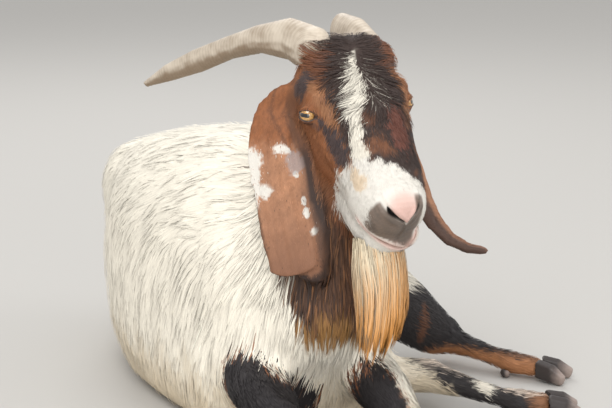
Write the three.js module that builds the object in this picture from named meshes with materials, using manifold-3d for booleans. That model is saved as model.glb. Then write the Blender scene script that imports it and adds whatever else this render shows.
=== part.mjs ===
// A horned, bearded, lop-eared goat buck lying on its chest, head raised. Millimetres, +Z up.
// The goat faces -Y and its left side is +X. Its solids reach the tips of the coat.
import * as THREE from "three";
import { mergeVertices } from "three/addons/utils/BufferGeometryUtils.js";
import Module from "manifold-3d";

const wasm = await Module();
wasm.setup();

// ---- driving dimensions, mm ----
const GAP = 0.3; // air between two touching pieces
const WITHERS_HEIGHT = 417; // top of the coat at the shoulders
const HEAD_LENGTH = 264; // poll to nose
const HEAD_PITCH = THREE.MathUtils.degToRad(43); // face axis below the horizontal
const HEAD_YAW = THREE.MathUtils.degToRad(-2); // nose turned to its right
const HEAD_ROLL = THREE.MathUtils.degToRad(4); // left side of the head raised
const HEAD_BROW = new THREE.Vector3(13, -334, 492); // midway between the eyes, on the face axis
const EYE_RADIUS = 13;
const EYE_SPACING = 68; // each eye's centre from the head's midline
const CLAW_LENGTH = 40;
const SPREAD_RIGHT = 92; // right forearm from the middle of the chest
const SPREAD_LEFT = 68;

// ---- mesh tools ----
const power = (value, exponent) => Math.sign(value) * Math.abs(value) ** exponent;

// A closed tube through stations [x, y, z, halfWidth, halfDepth, roll], with domed ends.
// side gives the width direction; square is the superellipse exponent; grow enlarges all round.
function loft(stations, options = {}) {
  const { side = [1, 0, 0], square = 2, around = 16, steps = 3, dome = 0.6, egg = 0, grow = 0 } = options;
  const curve = new THREE.CatmullRomCurve3(
    stations.map(([x, y, z]) => new THREE.Vector3(x, y, z)),
    false,
    "catmullrom",
    0.5,
  );
  const sizes = new THREE.CatmullRomCurve3(
    stations.map(([, , , width, depth, roll = 0]) => new THREE.Vector3(width, depth, roll)),
    false,
    "catmullrom",
    0.5,
  );
  const hint = new THREE.Vector3(...side);
  const rings = [];
  const addRing = (t, scale, push) => {
    const tangent = curve.getTangent(t);
    const across = hint.clone().addScaledVector(tangent, -hint.dot(tangent)).normalize();
    const over = new THREE.Vector3().crossVectors(across, tangent).normalize();
    const size = sizes.getPoint(t);
    across.applyAxisAngle(tangent, size.z);
    over.applyAxisAngle(tangent, size.z);
    const centre = curve.getPoint(t).addScaledVector(tangent, push * (dome * size.x + grow));
    rings.push(
      Array.from({ length: around }, (_, i) => {
        const angle = (2 * Math.PI * i) / around;
        const rise = power(Math.sin(angle), 2 / square);
        const wide = power(Math.cos(angle), 2 / square) * (1 + egg * rise);
        return centre
          .clone()
          .addScaledVector(across, (size.x + grow) * scale * wide)
          .addScaledVector(over, (size.y + grow) * scale * rise);
      }),
    );
    return centre;
  };
  const domeRings = [0.5, 0.87]; // ring scales on each end's dome
  const start = addRing(0, 0.001, -1);
  rings.pop();
  domeRings.forEach((scale) => addRing(0, scale, -Math.sqrt(1 - scale * scale)));
  const count = (stations.length - 1) * steps;
  for (let i = 0; i <= count; i += 1) addRing(i / count, 1, 0);
  domeRings.toReversed().forEach((scale) => addRing(1, scale, Math.sqrt(1 - scale * scale)));
  const end = addRing(1, 0.001, 1);
  rings.pop();
  const positions = [start, ...rings.flat(), end].flatMap((p) => p.toArray());
  const index = [];
  const at = (ring, i) => 1 + ring * around + (i % around);
  for (let i = 0; i < around; i += 1) {
    index.push(0, at(0, i + 1), at(0, i));
    index.push(positions.length / 3 - 1, at(rings.length - 1, i), at(rings.length - 1, i + 1));
    for (let ring = 0; ring < rings.length - 1; ring += 1) {
      index.push(at(ring, i), at(ring, i + 1), at(ring + 1, i + 1));
      index.push(at(ring, i), at(ring + 1, i + 1), at(ring + 1, i));
    }
  }
  const geometry = new THREE.BufferGeometry();
  geometry.setAttribute("position", new THREE.Float32BufferAttribute(positions, 3));
  geometry.setIndex(index);
  return solid(geometry);
}

// A three.js geometry as a manifold solid, turned outwards.
function solid(geometry) {
  geometry.deleteAttribute("normal");
  geometry.deleteAttribute("uv");
  const merged = mergeVertices(geometry, 1e-3);
  const triVerts = new Uint32Array(merged.index.array);
  const vertProperties = merged.attributes.position.array;
  const build = () => new wasm.Manifold(new wasm.Mesh({ numProp: 3, vertProperties, triVerts }));
  const made = build();
  if (made.volume() > 0) return made;
  for (let i = 0; i < triVerts.length; i += 3) {
    [triVerts[i + 1], triVerts[i + 2]] = [triVerts[i + 2], triVerts[i + 1]];
  }
  return build();
}

function ellipsoid([x, y, z], [rx, ry, rz], around = 12, turn = new THREE.Matrix4()) {
  const geometry = new THREE.SphereGeometry(1, around, Math.round(around * 0.6));
  geometry.applyMatrix4(new THREE.Matrix4().makeScale(rx, ry, rz));
  geometry.applyMatrix4(turn);
  geometry.translate(x, y, z);
  return solid(geometry);
}

const floorBox = solid(new THREE.BoxGeometry(4000, 4000, 400).translate(0, 0, -200));

function largest(body) {
  return body.decompose().reduce((best, piece) => (piece.volume() > best.volume() ? piece : best));
}

const goat = new THREE.Group();
const placed = {};

// Cuts the floor and the named neighbours out of a shape, then adds it to the group as one mesh.
function addPart(name, make, neighbours, look) {
  const cut = neighbours.reduce((rest, other) => rest.subtract(placed[other](GAP)), make(0));
  const body = cut.subtract(floorBox);
  placed[name] = make;
  const mesh = largest(body).getMesh();
  const geometry = new THREE.BufferGeometry();
  geometry.setAttribute("position", new THREE.Float32BufferAttribute(mesh.vertProperties, 3));
  geometry.setIndex(new THREE.BufferAttribute(mesh.triVerts, 1));
  geometry.computeVertexNormals();
  const material = new THREE.MeshStandardMaterial({ roughness: 0.9, metalness: 0, ...look });
  const part = new THREE.Mesh(geometry, material);
  part.name = name;
  goat.add(part);
}

// ---- colours ----
const CREAM = { color: 0xe9e1cd };
const BROWN = { color: 0x6b3a22 };
const DARK = { color: 0x2c2019 };
const TAN = { color: 0x9c6b4e };
const HORN = { color: 0xb9a78d, roughness: 0.6 };
const HOOF = { color: 0x6f665c, roughness: 0.6 };
const EYE = { color: 0xb98a3c, roughness: 0.15 };

// ---- trunk ----
const trunk = (grow) => {
  const barrel = loft(
    [
      [0, -262, 200, 74, 84],
      [0, -212, 200, 124, 148],
      [-2, -130, 190, 162, WITHERS_HEIGHT - 190],
      [-6, 0, 180, 183, 228],
      [-12, 130, 172, 181, 218],
      [-10, 240, 164, 156, 200],
      [-4, 325, 156, 132, 182],
      [0, 398, 146, 90, 128],
    ],
    { square: 2.9, around: 20, steps: 2, dome: 0.4, grow },
  );
  const haunch = ellipsoid([-86, 268, 262], [72 + grow, 122 + grow, 92 + grow], 12);
  const shoulders = [-1, 1].map((sign) =>
    ellipsoid([sign * 104, -146, 230], [54 + grow, 82 + grow, 124 + grow], 12),
  );
  return shoulders.reduce((all, shoulder) => all.add(shoulder), barrel.add(haunch));
};

// ---- neck with its throat hair ----
const neck = (grow) => {
  const column = loft(
    [
      [0, -190, 236, 90, 80],
      [2, -222, 320, 86, 92],
      [2, -232, 400, 72, 76],
      [0, -250, 484, 56, 50],
    ],
    { square: 2.1, around: 14, steps: 2, dome: 0.4, grow },
  );
  const throat = loft(
    [
      [6, -276, 372, 50, 46],
      [4, -276, 300, 66, 46],
      [2, -274, 235, 64, 42],
      [-2, -284, 180, 44, 24],
    ],
    { around: 12, steps: 2, dome: 0.5, grow },
  );
  return column.add(throat);
};

// ---- head ----
// Head coordinates: forward along the face, dorsal out of the forehead, and to the goat's left.
const carriage = new THREE.Matrix4()
  .makeRotationZ(HEAD_YAW)
  .multiply(new THREE.Matrix4().makeRotationY(-HEAD_ROLL));
const headTurn = carriage.clone().multiply(new THREE.Matrix4().makeRotationX(HEAD_PITCH));
const headPoint = (forward, dorsal, left) =>
  new THREE.Vector3(left, -forward, dorsal).applyMatrix4(headTurn).add(HEAD_BROW).toArray();
const headStation = ([forward, dorsal, halfWidth, halfDepth]) => [
  ...headPoint(forward, dorsal, 0),
  halfWidth,
  halfDepth,
];
const FRONT = HEAD_LENGTH * 0.67; // nose ahead of the brow
const BACK = FRONT - HEAD_LENGTH; // poll behind it
const headSide = headPoint(0, 0, 1).map((value, i) => value - HEAD_BROW.getComponent(i));
const head = (grow) => {
  const skull = loft(
    [
      [BACK + 12, -30, 62, 40],
      [-50, -38, 72, 58],
      [-8, -44, 71, 68],
      [40, -44, 63, 66],
      [88, -40, 54, 56],
      [128, -42, 51, 48],
      [FRONT - 22, -40, 42, 40],
    ].map(headStation),
    { side: headSide, square: 2.3, around: 14, steps: 2, dome: 0.45, egg: 0.06, grow },
  );
  const jaw = loft(
    [
      [-20, -96, 44, 34],
      [50, -98, 44, 36],
      [110, -96, 43, 34],
      [FRONT - 24, -90, 37, 31],
    ].map(headStation),
    { side: headSide, around: 12, steps: 2, dome: 0.6, grow },
  );
  const bumps = [-1, 1].flatMap((sign) => [
    ellipsoid(headPoint(-8, -14, sign * 55), [21 + grow, 30 + grow, 19 + grow], 10, headTurn), // brow
    ellipsoid(headPoint(14, -74, sign * 42), [20 + grow, 52 + grow, 42 + grow], 10, headTurn), // cheek
  ]);
  const mop = [66 + grow, 36 + grow, 32 + grow];
  const poll = ellipsoid(headPoint(-64, -4, 4), mop, 12, headTurn);
  return [...bumps, poll].reduce((all, bump) => all.add(bump), skull.add(jaw));
};

const eyeAt = (sign) => headPoint(-3, -24, sign * EYE_SPACING);
const eye = (sign) => (grow) => ellipsoid(eyeAt(sign), Array(3).fill(EYE_RADIUS + grow), 10);

// ---- horns: flattened, swept back and outwards ----
const HORN_RIGHT_RUN = [
  // out, behind, rise, half width, half depth, twist
  [0, 0, 0, 21, 34, 0],
  [16, 46, 13, 17, 29, 0.1],
  [41, 97, 10, 14, 19, 0.2],
  [66, 155, -6, 11, 16, 0.4],
  [93, 214, -28, 9, 17, 0.5],
  [120, 266, -48, 7, 13, 0.6],
  [143, 312, -68, 3, 5, 0.7],
];
const HORN_LEFT_RUN = [
  [0, 0, -10, 19, 24, 0],
  [-3, 44, 8, 17, 25, 0.1],
  [-6, 88, 13, 14, 21, 0.2],
  [10, 134, -2, 11, 17, 0.4],
  [34, 190, -26, 9, 14, 0.5],
  [58, 240, -48, 7, 11, 0.6],
  [78, 284, -68, 3, 5, 0.7],
];
const horn = (sign, run) => (grow) => {
  const base = new THREE.Vector3(...headPoint(-80, 2, sign * 38));
  const stations = run.map(([out, behind, rise, width, depth, twist]) => {
    const place = new THREE.Vector3(sign * out, behind, rise).applyMatrix4(carriage).add(base);
    return [...place.toArray(), width, depth, sign * twist];
  });
  return loft(stations, { around: 12, steps: 1, dome: 1, grow });
};

// ---- ears: long flat lobes hung from behind the eyes ----
const EAR_RIGHT_RUN = [
  [-50, -256, 494, 17, 10],
  [-70, -243, 466, 28, 8],
  [-78, -260, 419, 37, 7],
  [-75, -273, 368, 37, 6],
  [-70, -290, 316, 39, 6],
  [-64, -300, 272, 36, 6],
];
const EAR_LEFT_RUN = [
  [58, -240, 504, 17, 10],
  [94, -226, 470, 26, 8],
  [110, -240, 420, 32, 7],
  [122, -255, 378, 33, 7],
  [134, -266, 335, 32, 6],
  [147, -276, 306, 27, 6],
  [163, -288, 284, 18, 6],
  [187, -297, 271, 12, 5],
  [211, -303, 267, 8, 4],
];
const EAR_RIGHT_SHAPE = { side: [0.86, -0.5, 0], around: 10, steps: 2, dome: 0.36 };
const EAR_LEFT_SHAPE = { side: [-0.72, -0.69, 0], around: 12, steps: 1, dome: 0.5 };
const earRight = (grow) => loft(EAR_RIGHT_RUN, { ...EAR_RIGHT_SHAPE, grow });
const earLeft = (grow) => loft(EAR_LEFT_RUN, { ...EAR_LEFT_SHAPE, grow });

// ---- beard ----
const beard = (grow) =>
  loft(
    [
      [20, -366, 282, 32, 22],
      [26, -364, 255, 38, 26],
      [29, -360, 205, 34, 23],
      [28, -359, 160, 20, 11],
    ],
    { around: 12, steps: 1, dome: 0.6, grow },
  );

// ---- legs ----
// The forefeet lie folded back under the forearms, toes to the rear.
const forefoot = (sign, spread) => ({
  fetlock: [sign * (spread - 30), -280, 17],
  toe: [sign * (spread - 34), -248, 18],
});

const foreleg = (sign, spread) => (grow) => {
  const arm = loft(
    [
      [sign * (spread + 2), -165, 104, 40, 44],
      [sign * (spread + 2), -235, 92, 41, 44],
      [sign * spread, -300, 80, 37, 40],
      [sign * (spread - 2), -372, 50, 27, 30],
      [sign * (spread - 5), -402, 32, 24, 26],
    ],
    { around: 12, steps: 1, grow },
  );
  const foot = forefoot(sign, spread);
  const cannon = loft(
    [
      [sign * (spread - 5), -398, 24, 22, 26],
      [sign * (spread - 15), -352, 22, 16, 17],
      [sign * (spread - 24), -312, 18, 15, 17],
      [...foot.fetlock, 19, 18],
      [foot.fetlock[0], foot.fetlock[1] + 18, 17, 16, 16],
    ],
    { around: 10, steps: 1, dome: 0.4, grow },
  );
  return arm.add(cannon);
};

// From the hock to the coronet, thickest at both joints.
function hindFoot(hock, fetlock, toe, grow) {
  const between = (a, b, t) => a.map((value, i) => value + (b[i] - value) * t);
  return loft(
    [
      [...hock, 27, 25],
      [...between(hock, fetlock, 0.35), 19, 18],
      [...between(hock, fetlock, 0.75), 17, 16],
      [...fetlock, 22, 20],
      [...between(fetlock, toe, 0.5), 19, 19],
      [...between(fetlock, toe, 0.8), 17, 22],
    ],
    { side: [0, 0, 1], around: 10, steps: 1, dome: 0.4, grow },
  );
}

const HIND_LEFT = { hock: [326, 22, 38], fetlock: [386, -78, 20], toe: [422, -118, 17] };
const HIND_RIGHT = { hock: [212, -154, 42], fetlock: [306, -244, 20], toe: [350, -262, 17] };

const hindlegLeft = (grow) => {
  const thigh = loft(
    [
      [70, 280, 205, 90, 80],
      [118, 170, 190, 92, 80],
      [158, 60, 168, 76, 64],
      [186, 6, 144, 58, 50],
    ],
    { side: [0, 0, 1], around: 12, steps: 2, grow },
  );
  const shank = loft(
    [
      [186, 0, 142, 58, 48],
      [250, 6, 92, 50, 38],
      [300, 18, 54, 40, 30],
      [330, 28, 40, 32, 27],
    ],
    { side: [0, 0, 1], around: 12, steps: 2, grow },
  );
  return thigh.add(shank).add(hindFoot(HIND_LEFT.hock, HIND_LEFT.fetlock, HIND_LEFT.toe, grow));
};

const hindlegRight = (grow) => {
  const shank = loft(
    [
      [60, -110, 70, 36, 52],
      [112, -128, 56, 32, 46],
      [170, -142, 47, 28, 33],
      [214, -150, 44, 27, 26],
    ],
    { side: [0, 0, 1], around: 12, steps: 2, grow },
  );
  return shank.add(hindFoot(HIND_RIGHT.hock, HIND_RIGHT.fetlock, HIND_RIGHT.toe, grow));
};

const tail = (grow) =>
  loft(
    [
      [4, 425, 250, 24, 16],
      [6, 448, 215, 28, 14],
      [4, 462, 160, 22, 12],
      [2, 464, 112, 8, 7],
    ],
    { around: 10, steps: 1, dome: 0.8, grow },
  );

// ---- hooves: two main claws and two dewclaws to a foot ----
const footSide = ({ fetlock, toe }) => {
  const ahead = new THREE.Vector3(toe[0] - fetlock[0], toe[1] - fetlock[1], 0).normalize();
  return { ahead, across: new THREE.Vector3(-ahead.y, ahead.x, 0) };
};

const claw = (foot, sign, spread) => (grow) => {
  const { ahead, across } = footSide(foot);
  const place = (forward, aside, height) => [
    foot.toe[0] + ahead.x * forward + across.x * sign * aside,
    foot.toe[1] + ahead.y * forward + across.y * sign * aside,
    height,
  ];
  return loft(
    [
      [...place(-8, 11, 20), 15, 11],
      [...place(CLAW_LENGTH * 0.35, 12 + spread * 0.4, 16), 15, 11],
      [...place(CLAW_LENGTH * 0.85, 12 + spread, 9), 9, 6],
    ],
    { side: [0, 0, 1], square: 2.6, around: 8, steps: 1, dome: 0.3, grow },
  );
};

const dewclaw = (foot, sign, height) => (grow) => {
  const { ahead, across } = footSide(foot);
  const centre = new THREE.Vector3(...foot.fetlock)
    .addScaledVector(across, sign * 17)
    .addScaledVector(ahead, -4)
    .setZ(height);
  return ellipsoid(centre.toArray(), [8 + grow, 8 + grow, 8 + grow], 7);
};

// ---- the parts, each clear of the ones it touches ----
addPart("neck", neck, [], BROWN);
addPart("trunk", trunk, ["neck"], CREAM);
addPart("eye_right", eye(-1), [], EYE);
addPart("eye_left", eye(1), [], EYE);
addPart("head", head, ["neck", "trunk", "eye_right", "eye_left"], BROWN);
addPart("horn_right", horn(-1, HORN_RIGHT_RUN), ["head", "neck"], HORN);
addPart("horn_left", horn(1, HORN_LEFT_RUN), ["head", "neck"], HORN);
addPart("ear_right", earRight, ["head", "neck", "trunk"], TAN);
addPart("ear_left", earLeft, ["head", "neck", "trunk"], TAN);
addPart("beard", beard, ["head", "neck"], CREAM);
addPart("foreleg_right", foreleg(-1, SPREAD_RIGHT), ["trunk", "neck"], DARK);
addPart("foreleg_left", foreleg(1, SPREAD_LEFT), ["trunk", "neck"], DARK);
addPart("hindleg_right", hindlegRight, ["trunk", "foreleg_left", "neck"], DARK);
addPart("hindleg_left", hindlegLeft, ["trunk", "hindleg_right"], DARK);
addPart("tail", tail, ["trunk"], CREAM);

const feet = {
  foreleg_right: { foot: forefoot(-1, SPREAD_RIGHT), spread: 1, dewHeight: 30 },
  foreleg_left: { foot: forefoot(1, SPREAD_LEFT), spread: 1, dewHeight: 30 },
  hindleg_right: { foot: HIND_RIGHT, spread: 5, dewHeight: 8 },
  hindleg_left: { foot: HIND_LEFT, spread: 9, dewHeight: 8 },
};
for (const [leg, { foot, spread, dewHeight }] of Object.entries(feet)) {
  for (const [word, sign] of [["outer", -1], ["inner", 1]]) {
    const clawName = `hoof_${leg}_${word}`;
    const other = `hoof_${leg}_outer`;
    const beside = word === "inner" ? [other] : [];
    addPart(clawName, claw(foot, sign, spread), [leg, "trunk", ...beside], HOOF);
    addPart(`dewclaw_${leg}_${word}`, dewclaw(foot, sign, dewHeight), [leg, "trunk", clawName], HOOF);
  }
}

// The row's origin is the middle of the model's footprint, on the floor.
const extent = new THREE.Box3().setFromObject(goat);
const middle = extent.getCenter(new THREE.Vector3());
goat.position.set(-middle.x, -middle.y, 0);

export default goat;
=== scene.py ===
"""A life-size goat buck lying on its chest: one skin, eyes, horns and hooves, and a coat of solid tufts.

The goat faces -Y, its left side is +X and it lies on the floor. Lengths are metres unless a name says mm.
Head places are given as (forward along the face, dorsal, to the goat's left) from the middle of the brow.
"""

import math

import bmesh
import bpy
import numpy as np
from bpy.props import FloatProperty, FloatVectorProperty, IntProperty, PointerProperty
from mathutils import Matrix, Vector
from mathutils.bvhtree import BVHTree
from mathutils.kdtree import KDTree


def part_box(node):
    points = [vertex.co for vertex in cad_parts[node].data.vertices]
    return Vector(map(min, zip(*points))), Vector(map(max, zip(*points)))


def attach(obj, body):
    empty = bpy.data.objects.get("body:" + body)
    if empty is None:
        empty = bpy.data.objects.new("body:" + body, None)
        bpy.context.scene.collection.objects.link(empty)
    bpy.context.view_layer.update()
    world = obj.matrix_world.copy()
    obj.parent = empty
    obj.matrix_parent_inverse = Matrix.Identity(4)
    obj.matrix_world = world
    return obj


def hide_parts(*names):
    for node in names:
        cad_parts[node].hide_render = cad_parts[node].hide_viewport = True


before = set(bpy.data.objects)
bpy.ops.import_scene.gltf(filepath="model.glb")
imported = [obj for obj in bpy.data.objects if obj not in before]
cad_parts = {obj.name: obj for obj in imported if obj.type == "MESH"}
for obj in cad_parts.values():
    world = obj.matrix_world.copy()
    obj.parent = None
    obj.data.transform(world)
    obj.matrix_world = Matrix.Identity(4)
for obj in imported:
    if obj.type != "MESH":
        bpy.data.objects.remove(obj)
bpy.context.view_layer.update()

bl_info = {
    "name": "Resting goat",
    "version": (1, 0, 0),
    "blender": (4, 5, 0),
    "location": "3D View > Sidebar > Goat",
    "description": "Skin, coat, eyes, horns and hooves of a goat buck lying down",
    "category": "Add Mesh",
}

# ---------------------------------------------------------------- places, from the frame
FLESH = [
    "trunk",
    "neck",
    "head",
    "ear_right",
    "ear_left",
    "foreleg_right",
    "foreleg_left",
    "hindleg_right",
    "hindleg_left",
    "tail",
]
TRUNK_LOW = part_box("trunk")[0]
MIDDLE = Vector((TRUNK_LOW[0] + 0.194, TRUNK_LOW[1] + 0.2877, 0.0))  # under the goat's own middle
HEAD_PITCH = math.radians(43)
HEAD_YAW = math.radians(-2)
HEAD_ROLL = math.radians(4)
HEAD_TURN = Matrix.Rotation(HEAD_YAW, 3, "Z") @ Matrix.Rotation(-HEAD_ROLL, 3, "Y")
HEAD_TURN = HEAD_TURN @ Matrix.Rotation(HEAD_PITCH, 3, "X")


def centre_of(node):
    """The middle of a node's box."""
    low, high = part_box(node)
    return (Vector(low) + Vector(high)) / 2


EYES = {"right": centre_of("eye_right"), "left": centre_of("eye_left")}
EYE_RADIUS = 0.0128
BROW = (EYES["right"] + EYES["left"]) / 2 - HEAD_TURN @ Vector((0.0, 0.003, -0.024))
EYES["left"] += HEAD_TURN @ Vector((-0.006, 0.0, -0.002))  # a little deeper in its socket
TURN = np.array(HEAD_TURN)
HOOF_NODES = [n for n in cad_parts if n.startswith(("hoof_", "dewclaw_"))]


def body_places(points):
    """Row places as places from the goat's own middle."""
    return points - np.array(MIDDLE)


def head_places(points):
    """Row places in mm as (forward, dorsal, left) of the brow."""
    local = (points - np.array(BROW)) @ TURN * 1000
    return np.stack([-local[:, 1], local[:, 2], local[:, 0]], 1)


def head_vector(forward, dorsal, left):
    """A row direction from a head one."""
    return np.array(HEAD_TURN @ Vector((left, -forward, dorsal)))


def head_point(forward, dorsal, left):
    """A row place from head mm."""
    return np.array(BROW) + head_vector(forward, dorsal, left) / 1000


EAR_RUNS = {  # mm from the goat's middle, from the head to the tip
    "ear_right": [
        (-50, -256, 494), (-70, -243, 466), (-78, -260, 419),
        (-75, -273, 368), (-70, -290, 316), (-64, -300, 258),
    ],
    "ear_left": [
        (58, -240, 504), (94, -226, 470), (110, -240, 420), (122, -255, 378), (134, -266, 335),
        (147, -276, 306), (163, -288, 284), (187, -297, 271), (211, -303, 267),
    ],
}
EAR_FLAT = {"ear_right": (0.86, -0.5, 0.0), "ear_left": (-0.72, -0.69, 0.0)}  # the way each lobe is wide
EAR_THICKEN = 1.5  # a lobe's extra thickness while it is joined to the rest, against its own
EAR_THIN = {"ear_right": 0.22, "ear_left": 0.5}  # how much of that thickness is kept at the end
EAR_SHIFT = {"ear_right": -3.6, "ear_left": 0.0}  # mm through the lobe
LEG_RUNS = {  # mm from the goat's middle, from the body to the toe
    "foreleg_right": [(-94, -165, 104), (-87, -402, 40), (-62, -280, 17), (-58, -240, 17)],
    "foreleg_left": [(70, -165, 104), (63, -402, 40), (38, -280, 17), (34, -240, 17)],
    "hindleg_left": [(70, 280, 205), (190, 0, 146), (326, 26, 46), (386, -78, 20), (422, -118, 17)],
    "hindleg_right": [(60, -110, 70), (170, -142, 47), (212, -154, 42), (306, -244, 20), (350, -262, 17)],
}
HORN_BACK, HORN_UP, HORN_ASIDE = -80, 2, 38  # mm on the head, the middle of a horn's root
JOIN_SWELL = 0.0005  # closes the gaps between the flesh nodes
FLOOR_GAP = 0.0008


# ---------------------------------------------------------------- small maths
def smooth(low, high, value):
    """A soft step from 0 at low to 1 at high."""
    t = np.clip((value - low) / (high - low), 0, 1)
    return t * t * (3 - 2 * t)


def unit(vectors):
    """Vectors with a length of 1."""
    return vectors / np.maximum(np.linalg.norm(vectors, axis=-1, keepdims=True), 1e-9)


def ripple(points, size, seed, octaves=3):
    """Smooth noise from -1 to 1, made of slanted waves, with features about size across."""
    rng = np.random.default_rng(seed)
    total = np.zeros(len(points))
    for octave in range(octaves):
        for _ in range(5):
            direction = rng.normal(size=3)
            wave = direction / np.linalg.norm(direction) * 2 * math.pi / (size * rng.uniform(0.8, 1.5))
            total += np.sin(points @ wave * 2**octave + rng.uniform(0, 7)) / 5 / 1.6**octave
    return np.clip(total * 1.3, -1, 1)


def blob(places, centre, radii, ragged=0.0, noise=None):
    """1 inside an ellipsoid, 0 outside, with a soft ragged edge."""
    reach = np.linalg.norm((places - np.array(centre)) / np.array(radii), axis=1)
    if noise is not None:
        reach = reach + ragged * noise
    return 1 - smooth(0.82, 1.18, reach)


def paint(colours, mask, colour):
    """Colours with another colour, or another row of colours, laid over them where the mask is 1."""
    return colours + (np.array(colour) - colours) * mask[:, None]


def opaque(colours):
    """Colours with a last column of ones."""
    return np.concatenate([colours, np.ones((len(colours), 1))], 1)


# ---------------------------------------------------------------- places along the ears and legs
def ear_frame(places, node):
    """Mm across and through a hanging ear, the direction through it and the share along it, at each place."""
    spot = body_places(places) * 1000
    run = np.array(EAR_RUNS[node], float)
    lengths = np.linalg.norm(np.diff(run, axis=0), axis=1)
    reached = np.concatenate([[0], np.cumsum(lengths)]) / lengths.sum()
    best, foot = np.full(len(places), np.inf), np.zeros_like(places)
    share, down = np.zeros(len(places)), np.zeros_like(places)
    for index, (start, end) in enumerate(zip(run[:-1], run[1:])):
        stretch = end - start
        t = np.clip((spot - start) @ stretch / (stretch @ stretch), 0, 1)
        near = start + t[:, None] * stretch
        gap = np.linalg.norm(spot - near, axis=1)
        nearer = gap < best
        best = np.where(nearer, gap, best)
        foot[nearer], down[nearer] = near[nearer], unit(stretch)
        share[nearer] = (reached[index] + (reached[index + 1] - reached[index]) * t)[nearer]
    across = np.array(EAR_FLAT[node])
    across = unit(across - down * (down @ across)[:, None])
    through = np.cross(across, down)
    away = spot - foot
    return (away * across).sum(1), (away * through).sum(1), through, share


def along_run(places, run):
    """The direction of the nearest stretch of a run of places in mm."""
    spot = body_places(places) * 1000
    best = np.full(len(places), np.inf)
    direction = np.zeros_like(places)
    for start, end in zip(np.array(run[:-1], float), np.array(run[1:], float)):
        stretch = end - start
        t = np.clip((spot - start) @ stretch / (stretch @ stretch), 0, 1)
        gap = np.linalg.norm(spot - start - t[:, None] * stretch, axis=1)
        nearer = gap < best
        best = np.where(nearer, gap, best)
        direction[nearer] = unit(stretch)
    return direction


# ---------------------------------------------------------------- settings
def tint(name, description, colour):
    """A colour setting."""
    return FloatVectorProperty(name=name, description=description, default=colour, subtype="COLOR")


class GoatCoat(bpy.types.PropertyGroup):
    """Colours of the coat and the bare skin, and how thickly the coat grows"""

    cream: tint("Cream", "Body coat", (0.83, 0.775, 0.66))
    muzzle: tint("Muzzle", "White face", (0.76, 0.72, 0.65))
    chestnut: tint("Chestnut", "Cheeks", (0.27, 0.095, 0.032))
    umber: tint("Umber", "Forehead", (0.036, 0.019, 0.014))
    black: tint("Black", "Legs", (0.024, 0.020, 0.021))
    slate: tint("Slate", "Grey patches", (0.045, 0.038, 0.042))
    straw: tint("Straw", "Stained ends", (0.56, 0.40, 0.20))
    tan: tint("Tan", "Leg undersides", (0.34, 0.15, 0.065))
    gold: tint("Gold", "Beard ends", (0.66, 0.34, 0.10))
    ear: tint("Ear", "Ear skin", (0.42, 0.20, 0.105))
    bark: tint("Bark", "Throat", (0.080, 0.036, 0.018))
    leather: tint("Leather", "Nose patch", (0.120, 0.076, 0.052))
    ash: tint("Ash", "Grey on the ear", (0.42, 0.38, 0.38))
    pink: tint("Pink", "Bare nose", (0.76, 0.50, 0.43))
    cover: FloatProperty(name="Cover", description="Tufts over each spot", default=1.0, min=0.1, max=2.0)
    seed: IntProperty(name="Seed", description="Seed of the coat's random values", default=7)


class GoatSkin(bpy.types.PropertyGroup):
    """How fine and how round the skin is"""

    grain: FloatProperty(
        name="Grain", description="Face size of the skin", default=0.0066, unit="LENGTH", subtype="DISTANCE"
    )
    rounding: IntProperty(name="Rounding", description="Smoothing passes over the body", default=26)


# ---------------------------------------------------------------- meshes
def linked(name, data):
    """A new object in the scene."""
    obj = bpy.data.objects.new(name, data)
    bpy.context.scene.collection.objects.link(obj)
    return obj


def shade_smooth(mesh):
    """Shades every face as part of a curved surface."""
    mesh.polygons.foreach_set("use_smooth", np.ones(len(mesh.polygons), bool))


def mesh_object(name, verts, faces):
    """An object from an array of places and an array of triangles."""
    mesh = bpy.data.meshes.new(name)
    mesh.vertices.add(len(verts))
    mesh.vertices.foreach_set("co", np.asarray(verts, np.float32).ravel())
    mesh.loops.add(faces.size)
    mesh.loops.foreach_set("vertex_index", np.asarray(faces, np.int32).ravel())
    mesh.polygons.add(len(faces))
    mesh.polygons.foreach_set("loop_start", np.arange(0, faces.size, 3, dtype=np.int32))
    shade_smooth(mesh)
    mesh.update(calc_edges=True)
    return linked(name, mesh)


def set_attribute(mesh, name, values, kind="FLOAT_VECTOR"):
    """Gives each vertex a value that a material can read."""
    attribute = mesh.attributes.new(name, kind, "POINT")
    key = {"FLOAT": "value", "FLOAT_VECTOR": "vector", "FLOAT_COLOR": "color"}[kind]
    attribute.data.foreach_set(key, np.asarray(values, np.float32).ravel())


def places_of(mesh):
    """A mesh's vertices as an array."""
    places = np.empty(len(mesh.vertices) * 3, np.float32)
    mesh.vertices.foreach_get("co", places)
    return places.reshape(-1, 3).astype(float)


def set_places(mesh, places):
    """Moves a mesh's vertices."""
    mesh.vertices.foreach_set("co", places.astype(np.float32).ravel())
    mesh.update()


def normals_of(mesh):
    """A mesh's vertex normals as an array."""
    normals = np.empty(len(mesh.vertices) * 3, np.float32)
    mesh.vertex_normals.foreach_get("vector", normals)
    return normals.reshape(-1, 3).astype(float)


def edges_of(mesh):
    """A mesh's edges as pairs of vertex numbers."""
    edges = np.empty(len(mesh.edges) * 2, np.int32)
    mesh.edges.foreach_get("vertices", edges)
    return edges.reshape(-1, 2)


def merged_copy(node):
    """A CAD node's mesh with its loose triangles joined."""
    mesh = bmesh.new()
    mesh.from_mesh(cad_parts[node].data)
    bmesh.ops.remove_doubles(mesh, verts=mesh.verts, dist=1e-5)
    mesh.normal_update()
    return mesh


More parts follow.
